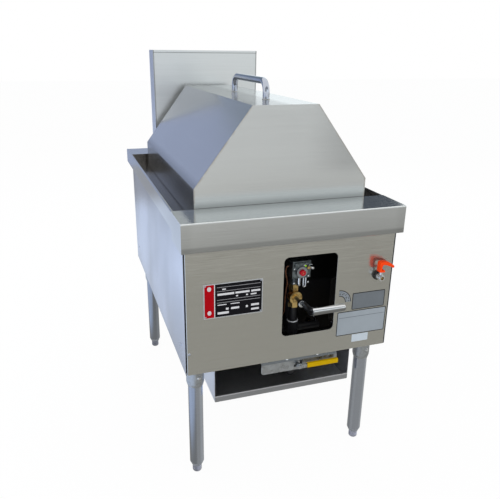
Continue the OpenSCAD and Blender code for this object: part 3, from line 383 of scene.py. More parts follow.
def merged(node):
    """A welded copy of a frame node, with its flat faces made whole."""
    bm = bmesh.new()
    bm.from_mesh(frame["nodes"][node].data)
    bmesh.ops.remove_doubles(bm, verts=bm.verts, dist=WELD_DISTANCE)
    bmesh.ops.dissolve_limit(bm, angle_limit=math.radians(FLAT_WITHIN), verts=bm.verts, edges=bm.edges)
    return bm


def break_edges(bm, width, turn=40.0, rows=2):
    """Rounds the edges where faces meet at more than this angle."""
    edges = [e for e in bm.edges if len(e.link_faces) == 2 and e.calc_face_angle(0.0) > math.radians(turn)]
    bmesh.ops.bevel(bm, geom=edges, offset=width, segments=rows, profile=0.5, affect="EDGES",
                    clamp_overlap=True)


def even_light(piece):
    """Flat faces keep flat light beside their rounded edges."""
    modifier = piece.modifiers.new("Even light", "WEIGHTED_NORMAL")
    modifier.keep_sharp = True
    modifier.weight = 80
    return piece


def dress(node, material, edge=0.0, rows=2):
    """A piece that stands for a node: welded, with broken edges and a finish."""
    bm = merged(node)
    if edge > 0:
        break_edges(bm, edge, rows=rows)
    piece = even_light(from_bmesh(bm, node + ".dressed", material))
    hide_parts(node)
    return settle(piece, BODY[node])


def settle(piece, body):
    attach(piece, body)
    return piece


def paint(nodes, material):
    """Gives frame nodes a finish and leaves their meshes alone."""
    for node in nodes:
        data = frame["nodes"][node].data
        data.materials.clear()
        data.materials.append(material)


def quarter(steps):
    """Angles of a quarter turn, without its start."""
    return [math.pi / 2 * step / steps for step in range(1, steps + 1)]


def circle(steps):
    """Angles of a whole turn, without its end."""
    return [2 * math.pi * step / steps for step in range(steps)]


def lathe(bm, profile, at, axis="Z", sides=48):
    """Turns (radius, height) points round an axis through a place. The ends are closed."""
    to_axis = {"Z": Matrix.Identity(3), "Y": Matrix.Rotation(-math.pi / 2, 3, "X"),
               "X": Matrix.Rotation(math.pi / 2, 3, "Y")}[axis]
    rings = []
    for radius, height in profile:
        angles = circle(sides) if radius > 0 else [0.0]
        spots = [Vector((radius * math.cos(a), radius * math.sin(a), height)) for a in angles]
        rings.append([bm.verts.new(to_axis @ spot + Vector(at)) for spot in spots])
    faces = []
    for one, two in zip(rings, rings[1:]):
        for i in range(sides):
            j = (i + 1) % sides
            ring = [one[i % len(one)], one[j % len(one)], two[j % len(two)], two[i % len(two)]]
            corners = [v for k, v in enumerate(ring) if v not in ring[:k]]
            if len(corners) > 2:
                faces.append(bm.faces.new(corners))
    for ring in (rings[0], rings[-1]):
        if len(ring) > 1:
            faces.append(bm.faces.new(ring))
    bmesh.ops.recalc_face_normals(bm, faces=faces)


def turned_piece(name, profile, at, material, axis="Z", sides=48, angle=35.0):
    """A new piece from one turned profile."""
    bm = bmesh.new()
    lathe(bm, profile, at, axis, sides)
    return from_bmesh(bm, name, material, angle)


def fitting(name, outline, start, at, material, axis="Y", sides=40, angle=35.0):
    """A small turned piece. Its outline is radius and distance from the start, in millimetres."""
    profile = [(radius * MM, start + along * MM) for radius, along in outline]
    return turned_piece(name, profile, at, material, axis, sides, angle)


# Repeated geometry

class Repeat(Tree):
    """A geometry tree with named inputs, which ends in plain faces with a material."""

    def __init__(self, name, material, inputs):
        tree = bpy.data.node_groups.new(name, "GeometryNodeTree")
        super().__init__(tree)
        self.material = material
        tree.interface.new_socket("Geometry", in_out="INPUT", socket_type="NodeSocketGeometry")
        self.names = {}
        for label, default in inputs.items():
            kind = "NodeSocketInt" if isinstance(default, int) else "NodeSocketFloat"
            socket = tree.interface.new_socket(label, in_out="INPUT", socket_type=kind)
            socket.default_value = default
            self.names[label] = socket.identifier
        tree.interface.new_socket("Geometry", in_out="OUTPUT", socket_type="NodeSocketGeometry")
        self.entry = self.add("NodeGroupInput")
        self.inputs = dict(zip(["Geometry", *inputs], self.others(self.entry)))

    def end(self, geometry):
        plain = self.add("GeometryNodeRealizeInstances", sockets={0: geometry})
        coated = self.add("GeometryNodeSetMaterial", sockets={"Geometry": plain})
        coated.socket.node.inputs["Material"].default_value = self.material
        self.add("NodeGroupOutput", sockets={0: coated})

    def make(self, name, mesh, values, angle=35.0):
        """Runs the tree on a mesh and returns the result as a plain piece."""
        source = new_piece(name + ".path", mesh)
        modifier = source.modifiers.new(name, "NODES")
        modifier.node_group = self.tree
        for label, value in values.items():
            modifier[self.names[label]] = value
        bpy.context.view_layer.update()
        graph = bpy.context.evaluated_depsgraph_get()
        result = bpy.data.meshes.new_from_object(source.evaluated_get(graph))
        source.modifiers.remove(modifier)
        bpy.data.objects.remove(source)
        soften(result, angle)
        result.name = name
        return new_piece(name, result)


def path_mesh(name, lines):
    """A mesh of bare edges along lists of points."""
    points, edges = [], []
    for line in lines:
        start = len(points)
        points += [tuple(p) for p in line]
        edges += [(start + i, start + i + 1) for i in range(len(line) - 1)]
    mesh = bpy.data.meshes.new(name)
    mesh.from_pydata(points, edges, [])
    return mesh


def weld_tree(material):
    """Overlapping ripples along a seam."""
    t = Repeat("Weld bead", material, {"Radius": 1.6 * MM, "Ripple": 2.2 * MM})
    curve = t.add("GeometryNodeMeshToCurve", sockets={0: t.inputs["Geometry"]})
    dotted = t.add("GeometryNodeResampleCurve", {"mode": "LENGTH"}, {
        "Curve": curve, "Length": t.inputs["Ripple"]})
    drop = t.add("GeometryNodeMeshUVSphere", sockets={
        "Segments": 8, "Rings": 5, "Radius": t.inputs["Radius"]})
    turn = t.add("FunctionNodeAlignRotationToVector", {"axis": "Z"}, {
        "Vector": t.add("GeometryNodeInputTangent")})
    drops = t.add("GeometryNodeInstanceOnPoints", sockets={
        "Points": t.add("GeometryNodeCurveToPoints", {"mode": "EVALUATED"}, {"Curve": dotted}),
        "Instance": drop, "Rotation": turn, "Scale": (1.0, 1.0, 1.0)})
    t.end(drops)
    return t


def thread_tree(material):
    """Rings of a pipe thread round a straight line, with a V-shaped crest."""
    t = Repeat("Pipe thread", material, {
        "Radius": 10.6 * MM, "Pitch": 1.8 * MM, "Depth": 0.6 * MM, "Sides": 40})
    curve = t.add("GeometryNodeMeshToCurve", sockets={0: t.inputs["Geometry"]})
    stations = t.add("GeometryNodeResampleCurve", {"mode": "LENGTH"}, {
        "Curve": curve, "Length": t.inputs["Pitch"]})
    points = t.add("GeometryNodeCurveToPoints", {"mode": "EVALUATED"}, {"Curve": stations})
    rotation = t.others(points)[3]
    ring = t.add("GeometryNodeCurvePrimitiveCircle", {"mode": "RADIUS"}, {
        "Resolution": t.inputs["Sides"], "Radius": t.inputs["Radius"] - t.inputs["Depth"] * 0.5})
    crest = t.add("GeometryNodeCurvePrimitiveCircle", {"mode": "RADIUS"}, {
        "Resolution": 4, "Radius": t.inputs["Depth"]})
    hoop = t.add("GeometryNodeCurveToMesh", sockets={"Curve": ring, "Profile Curve": crest})
    hoops = t.add("GeometryNodeInstanceOnPoints", sockets={
        "Points": points, "Instance": hoop, "Rotation": rotation})
    t.end(hoops)
    return t


def tube_tree(material):
    """A round tube swept along a path."""
    t = Repeat("Bent tube", material, {"Radius": 9.5 * MM, "Sides": 32})
    curve = t.add("GeometryNodeMeshToCurve", sockets={0: t.inputs["Geometry"]})
    ring = t.add("GeometryNodeCurvePrimitiveCircle", {"mode": "RADIUS"}, {
        "Resolution": t.inputs["Sides"], "Radius": t.inputs["Radius"]})
    tube = t.add("GeometryNodeCurveToMesh", sockets={
        "Curve": curve, "Profile Curve": ring, "Fill Caps": True})
    t.end(tube)
    return t


def head_tree(material):
    """Low domed heads of rivets and cover screws, standing off a face that looks to the front."""
    t = Repeat("Small heads", material, {"Radius": 2.0 * MM, "Height": 0.8 * MM})
    dome = t.add("GeometryNodeMeshUVSphere", sockets={
        "Segments": 16, "Rings": 8, "Radius": t.inputs["Radius"]})
    size = t.add("ShaderNodeCombineXYZ", sockets={
        0: 1.0, 1: t.inputs["Height"] / t.inputs["Radius"], 2: 1.0})
    heads = t.add("GeometryNodeInstanceOnPoints", sockets={
        "Points": t.add("GeometryNodeMeshToPoints", sockets={0: t.inputs["Geometry"]}),
        "Instance": dome, "Scale": size})
    t.end(heads)
    return t


# Finishes

def brushed(name, colour, look, roughness=None, seams=None, shade=0.12, dim=None, spread=0.3, cool=0.6,
            waves=1.2 * MM):
    """Brushed stainless sheet: fine lines, soft clouds, and a painted sky reflection that makes it cooler on
    the side that faces the open yard.
    """
    f = Finish(name)
    lying = f.square_on(abs(f.nz))
    across = f.z + (f.y - f.z) * lying
    along = f.x + f.y * (1 - lying)
    lines_along, streaks_along, streaks_across = 9.0, 1.6, 110.0
    grain = f.noise(1.0, 1.0, f.point(along * lines_along, across * look.grain, 0.0))
    streak = f.noise(1.0, 2.0, f.point(along * streaks_along, across * streaks_across, 3.0))
    cloud = f.noise(3.1, 3.0)
    drift = f.noise(1.3, 1.0, f.point(f.x + 4, f.y, f.z * 1.6))
    # Painted reflection: faces that look to the left take the sky colour, by the share cool.
    painted_sky_side = f.ease(-f.nx, 0.25, 0.8)
    base = f.mix(painted_sky_side * cool, tuple(colour), tuple(look.sky))
    tone = 1 + f.swing(grain, 0.10) + f.swing(streak, 0.07) + f.swing(cloud, shade) + f.swing(drift, shade)
    # dim multiplies the tone, mostly by painted light and shade.
    if dim:
        tone = tone * dim(f)
    base = f.tone(base, tone)
    rough = look.polish if roughness is None else roughness
    worn = rough + f.swing(grain, 0.05) + f.swing(streak, 0.03) + f.swing(cloud, 0.10)
    if seams:
        ground = seams(f)
        ground_steel = (0.42, 0.38, 0.33)
        base = f.mix(ground * 0.6, base, ground_steel)
        worn = worn + ground * 0.10
    slow = f.bump(f.noise(5.0, 0.0), 0.35, waves)
    lines = f.bump(grain, spread, (0.12 + 0.2 * spread) * MM, slow)
    return f.done(base, worn, metallic=0.9, normal=lines)


def hood_painted_shade(f):
    """Painted shade on the skirt's sides, a painted contact shadow along its lower edge, painted shade on the
    front near the deck and on its right, and on the flat top, most of all left of the grip.
    """
    rise = f.z - HOOD_LO.z
    above_deck = f.z - DECK_TOP
    front = f.square_on(abs(f.ny))
    skirt = f.ease(abs(f.nx), 0.5, 0.9) * f.ease(rise, 115 * MM, 85 * MM)
    # A painted contact shadow along the skirt's lower edge, where it stands in the gutter.
    contact_shadow = f.ease(rise, 6.0 * MM, 4.5 * MM)
    near_deck = front * f.ease(above_deck, 22 * MM, 0.0)
    right = front * f.ease(f.x, 40 * MM, 200 * MM) * f.ease(above_deck, 50 * MM, 110 * MM)
    # Painted shade on the flat top, strongest left of the grip.
    flat_top = f.ease(f.nz, 0.9, 0.97) * f.ease(HOOD_HI.z - f.z, 10 * MM, 4 * MM)
    left_of_grip = 0.60 - f.ease(f.x, -10 * MM, 30 * MM) * 0.55
    return f.dulled((skirt, 0.56), (contact_shadow, 0.85), (near_deck * 0.35 + right * 0.22, 1),
                    (flat_top, left_of_grip))


def deck_painted_light(f):
    """Painted light: the apron is darker than the ledge, darkest along its lower edge and near its ends; the
    ledge is darker towards the hood, the end caps towards the front; a painted highlight runs along the top
    fold.
    """
    drop = DECK_TOP - f.z
    # Painted shade on the apron, strongest along its lower edge and near its ends.
    apron = f.square_on(-f.ny) * (drop > 4 * MM)
    foot = f.ease(f.z - DECK_FOOT, 18 * MM, 11 * MM)
    end = f.ease(DECK_SIDE - abs(f.x), 35 * MM, 12 * MM)
    # Painted highlight along the apron's top fold.
    fold = f.ease(-f.ny, 0.25, 0.5) * f.ease(f.nz, 0.25, 0.5)
    ledge = f.square_on(f.nz) * f.ease(f.y, FRONT, HOOD_LO.y)
    cap = f.square_on(abs(f.nx)) * (drop > 2 * MM)
    corner = f.ease(f.y - FRONT, 300 * MM, 40 * MM)
    return f.dulled((apron, 0.13 + foot * 0.24 + end * 0.06), (ledge, 0.05), (fold, -0.45),
                    (cap, 0.10 + corner * 0.20))


def side_painted_light(f):
    """Painted reflection of the yard's soft lights and darks, stronger on the left panel; painted shade on
    the cut edge at the front, on the inner face and high up.
    """
    # Painted reflection: a soft noise of lights and darks.
    yard = f.point(f.x, f.y * 3.2 + f.z * 1.5, f.z * 2.2 - f.y * 0.8)
    soft = f.ease(f.noise(1.0, 2.0, yard), 0.30, 0.70)
    left = f.ease(-f.x, 0.0, 100 * MM)
    # Painted shade in the gap at the front edge and on the inner face inside the cabinet.
    edge_shadow = f.facing(-f.ny)
    inner = f.ease(f.nx * f.x, -0.1, -0.2)
    high_up = f.ease(DECK_TOP - f.z, 160 * MM, 70 * MM)
    return (0.82 - left * 0.12 + soft * (0.18 + left * 0.22)) * f.dulled(
        (edge_shadow, 0.62), (inner, 0.9), (high_up, 0.14))


def panel_painted_shade(f):
    """Painted shadow of the apron along the front panel's top, and painted shade on its inside."""
    shadow = f.ease(DECK_FOOT - f.z, 14 * MM, 0.0)
    return f.dulled((shadow, 0.22), (f.facing(f.ny), 0.9))


def riser_painted_light(f):
    """Painted shade on the riser's right-hand fold, on the line under its lip and on its side strips; its
    lower part is painted brighter.
    """
    drop = RISER_HI.z - f.z
    hem = 4.5 * MM
    flat = f.ease(-f.ny, 0.5, 0.9)
    # Painted shadow line under the lip.
    lip = f.within(drop, 7.0 * MM, 9.5 * MM) * flat
    sides = f.larger(f.within(f.x, RISER_LO.x, RISER_LO.x + hem),
                     f.within(f.x, RISER_HI.x - hem, RISER_HI.x)) * flat
    right_fold_shade = f.ease(f.nx, 0.2, 0.6)
    lower = f.ease(drop, 120 * MM, 300 * MM)
    return f.dulled((right_fold_shade, 0.65), (lip, 0.45), (sides, 0.45), (lower, -0.28))


def tray_painted_light(f):
    """Painted shade makes the tray's front lip duller than its floor. Painted highlights on its top edge, its
    hem, the right of its floor and its outer side.
    """
    rise = f.z - TRAY_LO.z
    lip = f.facing(-f.ny)
    hem = f.ease(f.nz, 0.2, 0.5) * f.within(f.y - TRAY_LO.y, -1 * MM, 4 * MM) * (rise > 6 * MM)
    right = f.square_on(f.nz) * f.ease(f.x, 40 * MM, 130 * MM)
    outer = f.facing(-f.nx) * f.ease(-f.x, 150 * MM, 200 * MM)
    edge = f.within(rise, 15.5 * MM, 20 * MM) * lip
    return f.dulled((lip, 0.36), (hem, -0.5), (right, -0.75), (edge, -0.75), (outer, -0.45))


def tank_soot_and_shade(f):
    """Soot and painted shade on the tank's underside, and painted shade on its outer front."""
    front = f.facing(-f.ny) * (f.y < low("water_tank").y + 3 * MM)
    return f.dulled((f.larger(front, f.facing(-f.nz)), 0.95))


def hood_seams(f):
    """Ground welds along the edges of the hood's two ends."""
    knee = DECK_TOP + 52 * MM
    half, top_half = HOOD_HI.x, 91 * MM
    slope = (half - top_half) / (HOOD_HI.z - knee)
    outline = f.math("MINIMUM", half, half - (f.z - knee) * slope)
    near_edge = f.ease(outline - abs(f.x), 6.0 * MM, 1.5 * MM)
    at_end = f.larger(f.ease(f.y - HOOD_LO.y, 6 * MM, 2 * MM), f.ease(HOOD_HI.y - f.y, 6 * MM, 2 * MM))
    patchy = f.ease(f.noise(60.0, 2.0), 0.25, 0.6)
    return near_edge * at_end * patchy


# The painted reflection bands on the legs are counted across this direction.
TO_FRONT_RIGHT = (0.83, -0.55)  # across the legs, where their streaks are counted from


def tube_steel(name, colour, roughness=0.22, lines=500.0, flow="Z", shade=0.0):
    """Satin tube, brushed round its length. With shade it takes painted shade to the rear and on the outer
    side of the front left leg, and painted reflection bands down its length.
    """
    f = Finish(name)
    wear, lines_round = 0.10, 40
    length = {"Y": f.y, "Z": f.z}[flow]
    grain = f.noise(1.0, 1.0, f.point(f.x * lines_round, f.y * lines_round, length * lines))
    cloud = f.noise(9.0, 2.0)
    scuff = f.ease(f.noise(55.0, 4.0), 0.62, 0.76)
    tone = 1 + f.swing(grain, 0.12) + f.swing(cloud, wear) - scuff * wear * 0.5
    if shade > 0:
        # Painted shade to the rear and on the outer side of the front left leg.
        rear = f.ease(f.y, 0.0, 300 * MM)
        outer = f.ease(-f.nx, 0.05, 0.35) * f.ease(-f.x, 100 * MM, 200 * MM) * (1 - rear)
        # Painted reflections: dark and pale bands and a bright edge, by the way a face turns.
        turn = f.nx * TO_FRONT_RIGHT[0] + f.ny * TO_FRONT_RIGHT[1]
        painted_dark_band, painted_pale_band = f.within(turn, -0.90, -0.62), f.within(turn, -0.52, -0.20)
        painted_edge_highlight = f.ease(turn, 0.66, 0.95)
        tone = tone * f.dulled((rear, shade), (outer, shade * 0.9), (painted_dark_band, 0.16), (painted_pale_band, -0.10),
                               (painted_edge_highlight, -0.35))
    rough = roughness + f.swing(grain, 0.06) + f.swing(cloud, wear * 0.5) + scuff * wear * 0.4
    return f.done(f.tone(tuple(colour), tone), rough, normal=f.bump(grain, 0.08, 0.2 * MM))


def zinc(name, colour, roughness=0.38, size=90.0, shade=0.0):
    """Zinc coat with its soft spangle, with painted shade by the share shade on faces that slope."""
    f = Finish(name)
    cells = f.add("ShaderNodeTexVoronoi", {"feature": "SMOOTH_F1"}, {
        "Vector": f.where, "Scale": size, "Smoothness": 0.3, "Randomness": 1.0}, out="Color")
    leaf = f.split(cells)[0]
    dull = f.noise(30.0, 3.0)
    sloping_shade = f.within(f.nz, 0.12, 0.9)
    base = f.tone(tuple(colour), (0.86 + leaf * 0.24 + f.swing(dull, 0.22)) * (1 - sloping_shade * shade))
    return f.done(base, roughness + f.swing(leaf, 0.18) + f.swing(dull, 0.1), metallic=0.95,
                  normal=f.bump(f.noise(350.0, 2.0), 0.08, 0.3 * MM))


def plated(name, colour, roughness=0.16):
    """Bright plating with faint pits and handling marks."""
    f = Finish(name)
    haze = f.noise(70.0, 3.0)
    pits = f.ease(f.noise(420.0, 2.0), 0.66, 0.76)
    base = f.tone(tuple(colour), 1 + f.swing(haze, 0.22) - pits * 0.18)
    return f.done(base, roughness + f.swing(haze, 0.14) + pits * 0.2, normal=f.bump(haze, 0.08, 0.2 * MM))


def cast(name, colour, metallic=0.85, roughness=0.42, size=500.0, patches=0.6):
    """A cast skin: fine grain, darker hollows, rubbed high spots."""
    f = Finish(name)
    skin = f.noise(size, 3.0)
    patch = f.noise(45.0, 3.0)
    base = f.tone(tuple(colour), 1 + f.swing(skin, 0.35) + f.swing(patch, patches))
    return f.done(base, roughness + f.swing(patch, 0.22), metallic=metallic,
                  normal=f.bump(skin, 0.28, 0.5 * MM))


def bar_plating(colour):
    """The handle bar's plating: bright above, with painted shade underneath, where it is also rougher, and
    finger marks all over.
    """
    f = Finish("Bar plating")
    marks = f.noise(60.0, 3.0)
    # Painted shade on the underside.
    under = f.ease(f.nz, 0.48, 0.18)
    base = f.tone(tuple(colour), (1 - under * 0.62) * (1 + f.swing(marks, 0.08)))
    return f.done(base, 0.17 + under * 0.12 + f.swing(marks, 0.06))


def valve_casting(colour):
    """The safety valve's dark casting, with paler patches and a bare ring round its button."""
    f = Finish("Valve casting")
    skin = f.noise(420.0, 3.0)
    patchy = f.ease(f.noise(130.0, 3.0), 0.45, 0.62)
    button = middle("reset_button")
    bare_metal = (0.36, 0.38, 0.40)
    ring = f.within(f.out_from(button.x, button.z), 8.5 * MM, 15.8 * MM) * (f.ny < -0.5)
    base = f.tone(tuple(colour), 1 + f.swing(skin, 0.5) + patchy * 0.9)
    base = f.mix(ring * 0.85, base, bare_metal)
    return f.done(base, 0.40 + f.swing(skin, 0.2), metallic=0.8, normal=f.bump(skin, 0.3, 0.5 * MM))


def turned(name, colour, dull, roughness=0.3):
    """Turned or drawn brass and copper: bright metal with brown tarnish."""
    f = Finish(name)
    tarnish = f.ease(f.noise(65.0, 4.0), 0.40, 0.72)
    round_it, along = 60, 900
    rings = f.noise(1.0, 1.0, f.point(f.x * round_it, f.y * round_it, f.z * along))
    base = f.tone(f.mix(tarnish * 0.65, tuple(colour), tuple(dull)), 1 + f.swing(rings, 0.2))
    return f.done(base, roughness + tarnish * 0.22 + f.swing(rings, 0.06),
                  normal=f.bump(rings, 0.10, 0.2 * MM))


def black_coat(name, colour, roughness=0.45, metallic=0.0, rubbed=0.25):
    """Black pipe or paint with scale, dust and rubbed edges."""
    f = Finish(name)
    scale = f.noise(260.0, 3.0)
    dust = f.ease(f.noise(28.0, 3.0), 0.5, 0.8) * f.ease(f.nz, 0.1, 0.9)
    dust_grey = (0.10, 0.095, 0.09)
    base = f.tone(f.mix(dust * rubbed, tuple(colour), dust_grey), 1 + f.swing(scale, 0.5))
    return f.done(base, roughness + f.swing(scale, 0.2) + dust * 0.2, metallic=metallic,
                  normal=f.bump(scale, 0.22, 0.4 * MM))


def moulded(name, colour, roughness=0.35, coat=0.0, dirt=0.2, dark=(0.10, 0.05, 0.02), gloss=0.5):
    """Coated, dipped or moulded colour, with grime in its low spots."""
    f = Finish(name)
    soil = f.ease(f.noise(95.0, 4.0), 0.52, 0.8)
    peel = f.noise(300.0, 1.0)
    base = f.tone(f.mix(soil * dirt, tuple(colour), dark), 1 + f.swing(f.noise(30.0, 2.0), 0.16))
    return f.done(base, roughness + soil * 0.15 + f.swing(peel, 0.06), metallic=0.0,
                  normal=f.bump(peel, 0.07, 0.2 * MM), Coat_Weight=coat, Coat_Roughness=0.12,
                  Specular_IOR_Level=gloss)


def heat_worn(name, colour):
    """Chamber sheet: straw and blue heat tints over dark scale, sooty in patches, with painted shade on faces
    that look to the front.
    """
    f = Finish(name)
    straw, blue, scale = (0.16, 0.10, 0.05), (0.07, 0.08, 0.14), (0.04, 0.035, 0.03)
    black = (0.014, 0.013, 0.012)
    tint = f.add("ShaderNodeValToRGB", {
        "stops": [(0.0, tuple(colour)), (0.45, straw), (0.6, blue), (1.0, scale)]}, {0: f.noise(7.0, 3.0)})
    # Sooty patches, and painted shade on faces that look to the front.
    soot = f.larger(f.ease(f.noise(30.0, 4.0), 0.4, 0.7) * 0.7, f.facing(-f.ny) * 0.97)
    return f.done(f.mix(soot, tint, black), 0.42 + soot * 0.3, metallic=0.8,
                  normal=f.bump(f.noise(200.0, 3.0), 0.15, 0.4 * MM))


# The rating plate's fields, as shares of its width and height: left, right, bottom, top

PLATE_INSIDE = (0.016, 0.984, 0.026, 0.974)
RED_BAND = (0.016, 0.172)
BAND_EDGE = (0.176, 0.190)
PALE_BOXES = (
    (0.23, 0.51, 0.645, 0.705), (0.53, 0.77, 0.650, 0.705), (0.80, 0.955, 0.650, 0.705),
    (0.54, 0.575, 0.565, 0.605), (0.71, 0.745, 0.565, 0.605), (0.79, 0.89, 0.565, 0.605),
    (0.31, 0.37, 0.80, 0.835), (0.37, 0.415, 0.21, 0.27), (0.457, 0.596, 0.21, 0.27),
    (0.71, 0.745, 0.21, 0.27), (0.80, 0.936, 0.235, 0.295), (0.80, 0.936, 0.11, 0.165),
    (0.23, 0.42, 0.10, 0.165), (0.45, 0.60, 0.36, 0.385), (0.23, 0.38, 0.36, 0.385))
RULES = [(0.22, 0.955, bottom, bottom + 0.012) for bottom in (0.875, 0.76, 0.51, 0.43)]
ROUND_MARKS = ((0.094, 0.86), (0.094, 0.17))


def rating_finish(trim):
    """Bare rating plate: bright rim, red end band, black field with empty boxes."""
    f = Finish("Rating plate")
    lo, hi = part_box("rating_plate")
    u, v = (f.x - lo.x) / (hi.x - lo.x), (f.z - lo.z) / (hi.z - lo.z)
    black, pale, rim_steel = (0.008, 0.008, 0.010), (0.62, 0.62, 0.64), (0.60, 0.61, 0.63)
    rim = 1 - f.patch(u, v, PLATE_INSIDE)
    light = f.within(u, *BAND_EDGE)
    for box in PALE_BOXES:
        light = f.larger(light, f.patch(u, v, box))
    for rule in RULES:
        light = f.larger(light, f.patch(u, v, rule) * 0.5)
    for mark in ROUND_MARKS:
        light = f.larger(light, round_mark(u, v, mark) * 0.85)
    dust = f.noise(120.0, 3.0)
    field = f.mix(f.within(u, *RED_BAND), black, tuple(trim.plate_red))
    face = f.mix(rim, f.mix(light, field, pale), rim_steel)
    face = f.tone(face, 1 + f.swing(dust, 0.3))
    return f.done(face, 0.42 + f.swing(dust, 0.2), metallic=rim * 0.75,
                  normal=f.bump(f.larger(rim, light), 0.25, 0.2 * MM), Specular_IOR_Level=0.03)


def round_mark(u, v, at):
    """A bare round mark, as wide as half the red band. The plate is twice as wide as it is high."""
    across, up = (u - at[0]) * 2.0, v - at[1]
    return (across * across + up * up) < 0.0042


def notice_finish(trim):
    """Bare adhesive plates: silver film with dark borders, the lower plate and the strip under it paler."""
    f = Finish("Notice film")
    drop = DECK_TOP - f.z
    haze = f.noise(40.0, 3.0)
    specks = f.ease(f.noise(500.0, 2.0), 0.62, 0.75)
    border, ink = 2.2 * MM, (0.012, 0.012, 0.014)
    upper = (179.5 * MM, 282.5 * MM, 249 * MM, 300 * MM)
    lower = (136.5 * MM, 290.5 * MM, 303 * MM, 378.5 * MM)
    left, right, top, bottom = lower
    line = f.patch(f.x, drop, (left + 5 * MM, right - 5 * MM, top + 18.5 * MM, top + 20 * MM)) * 0.6
    for x0, x1, z0, z1 in (upper, lower):
        outside = f.patch(f.x, drop, (x0, x1, z0, z1))
        inside = f.patch(f.x, drop, (x0 + border, x1 - border, z0 + border, z1 - border))
        line = f.larger(line, outside - inside)
    ring_x, ring_drop = 137 * MM, 273 * MM
    out = f.out_from(ring_x, DECK_TOP - ring_drop)
    ring = f.patch(f.x, drop, (ring_x, 178 * MM, 230 * MM, ring_drop + 1 * MM))
    rims = f.larger(f.within(out, 20.0 * MM, 22.2 * MM), f.within(out, 35.8 * MM, 38.5 * MM))
    broken = f.noise(1.0, 0.0, f.point(f.x * 260, 0.0, f.z * 260)) > 0.56
    ticks = f.within(out, 24.5 * MM, 33.5 * MM) * broken
    line = f.larger(line, ring * f.larger(rims, ticks * 0.7))
    pale = f.ease(drop, top - 1 * MM, top + 1 * MM)
    palest = f.ease(drop, bottom - 1 * MM, bottom + 1 * MM)
    tone = 1 + ring * 0.7 + pale * 1.1 + palest * 1.4 + f.swing(haze, 0.25) - specks * 0.2
    base = f.mix(line, f.tone(tuple(trim.notice), tone), ink)
    return f.done(base, 0.38 + f.swing(haze, 0.2), metallic=0.2 * (1 - line),
                  normal=f.bump(haze, 0.05, 0.2 * MM), Specular_IOR_Level=0.3)


# Operators

class RANGE_OT_camera(bpy.types.Operator):
    """Places the camera where the photograph was taken from"""

    bl_idname = "steamer.camera"
    bl_label = "Camera"

    EYE = (-0.5427, FRONT - 1.194, 1.1818)
    YAW, PITCH, ROLL = 0.31754, 0.35498, 0.01156
    FOCAL_LENGTH, SENSOR_WIDTH = 39.216, 36.0
    SHIFT_X, SHIFT_Y = 0.01356, 0.0016

    def execute(self, context):
        lens = bpy.data.cameras.new("Camera")
        camera = bpy.data.objects.new("Camera", lens)
        context.scene.collection.objects.link(camera)
        level = math.cos(self.PITCH)
        ahead = Vector((math.sin(self.YAW) * level, math.cos(self.YAW) * level, -math.sin(self.PITCH)))
        right = Vector((math.cos(self.YAW), -math.sin(self.YAW), 0.0))
        up = right.cross(ahead)
        tilt, lean = math.cos(self.ROLL), math.sin(self.ROLL)
        right, up = tilt * right + lean * up, tilt * up - lean * right
        turned_to = Matrix((right, up, -ahead)).transposed().to_4x4()
        camera.matrix_world = Matrix.Translation(self.EYE) @ turned_to
        lens.sensor_fit = "HORIZONTAL"
        lens.sensor_width = self.SENSOR_WIDTH
        lens.lens = self.FOCAL_LENGTH
        lens.shift_x = self.SHIFT_X
        lens.shift_y = self.SHIFT_Y
        lens.clip_start = 0.05
        context.scene.camera = camera
        return {"FINISHED"}


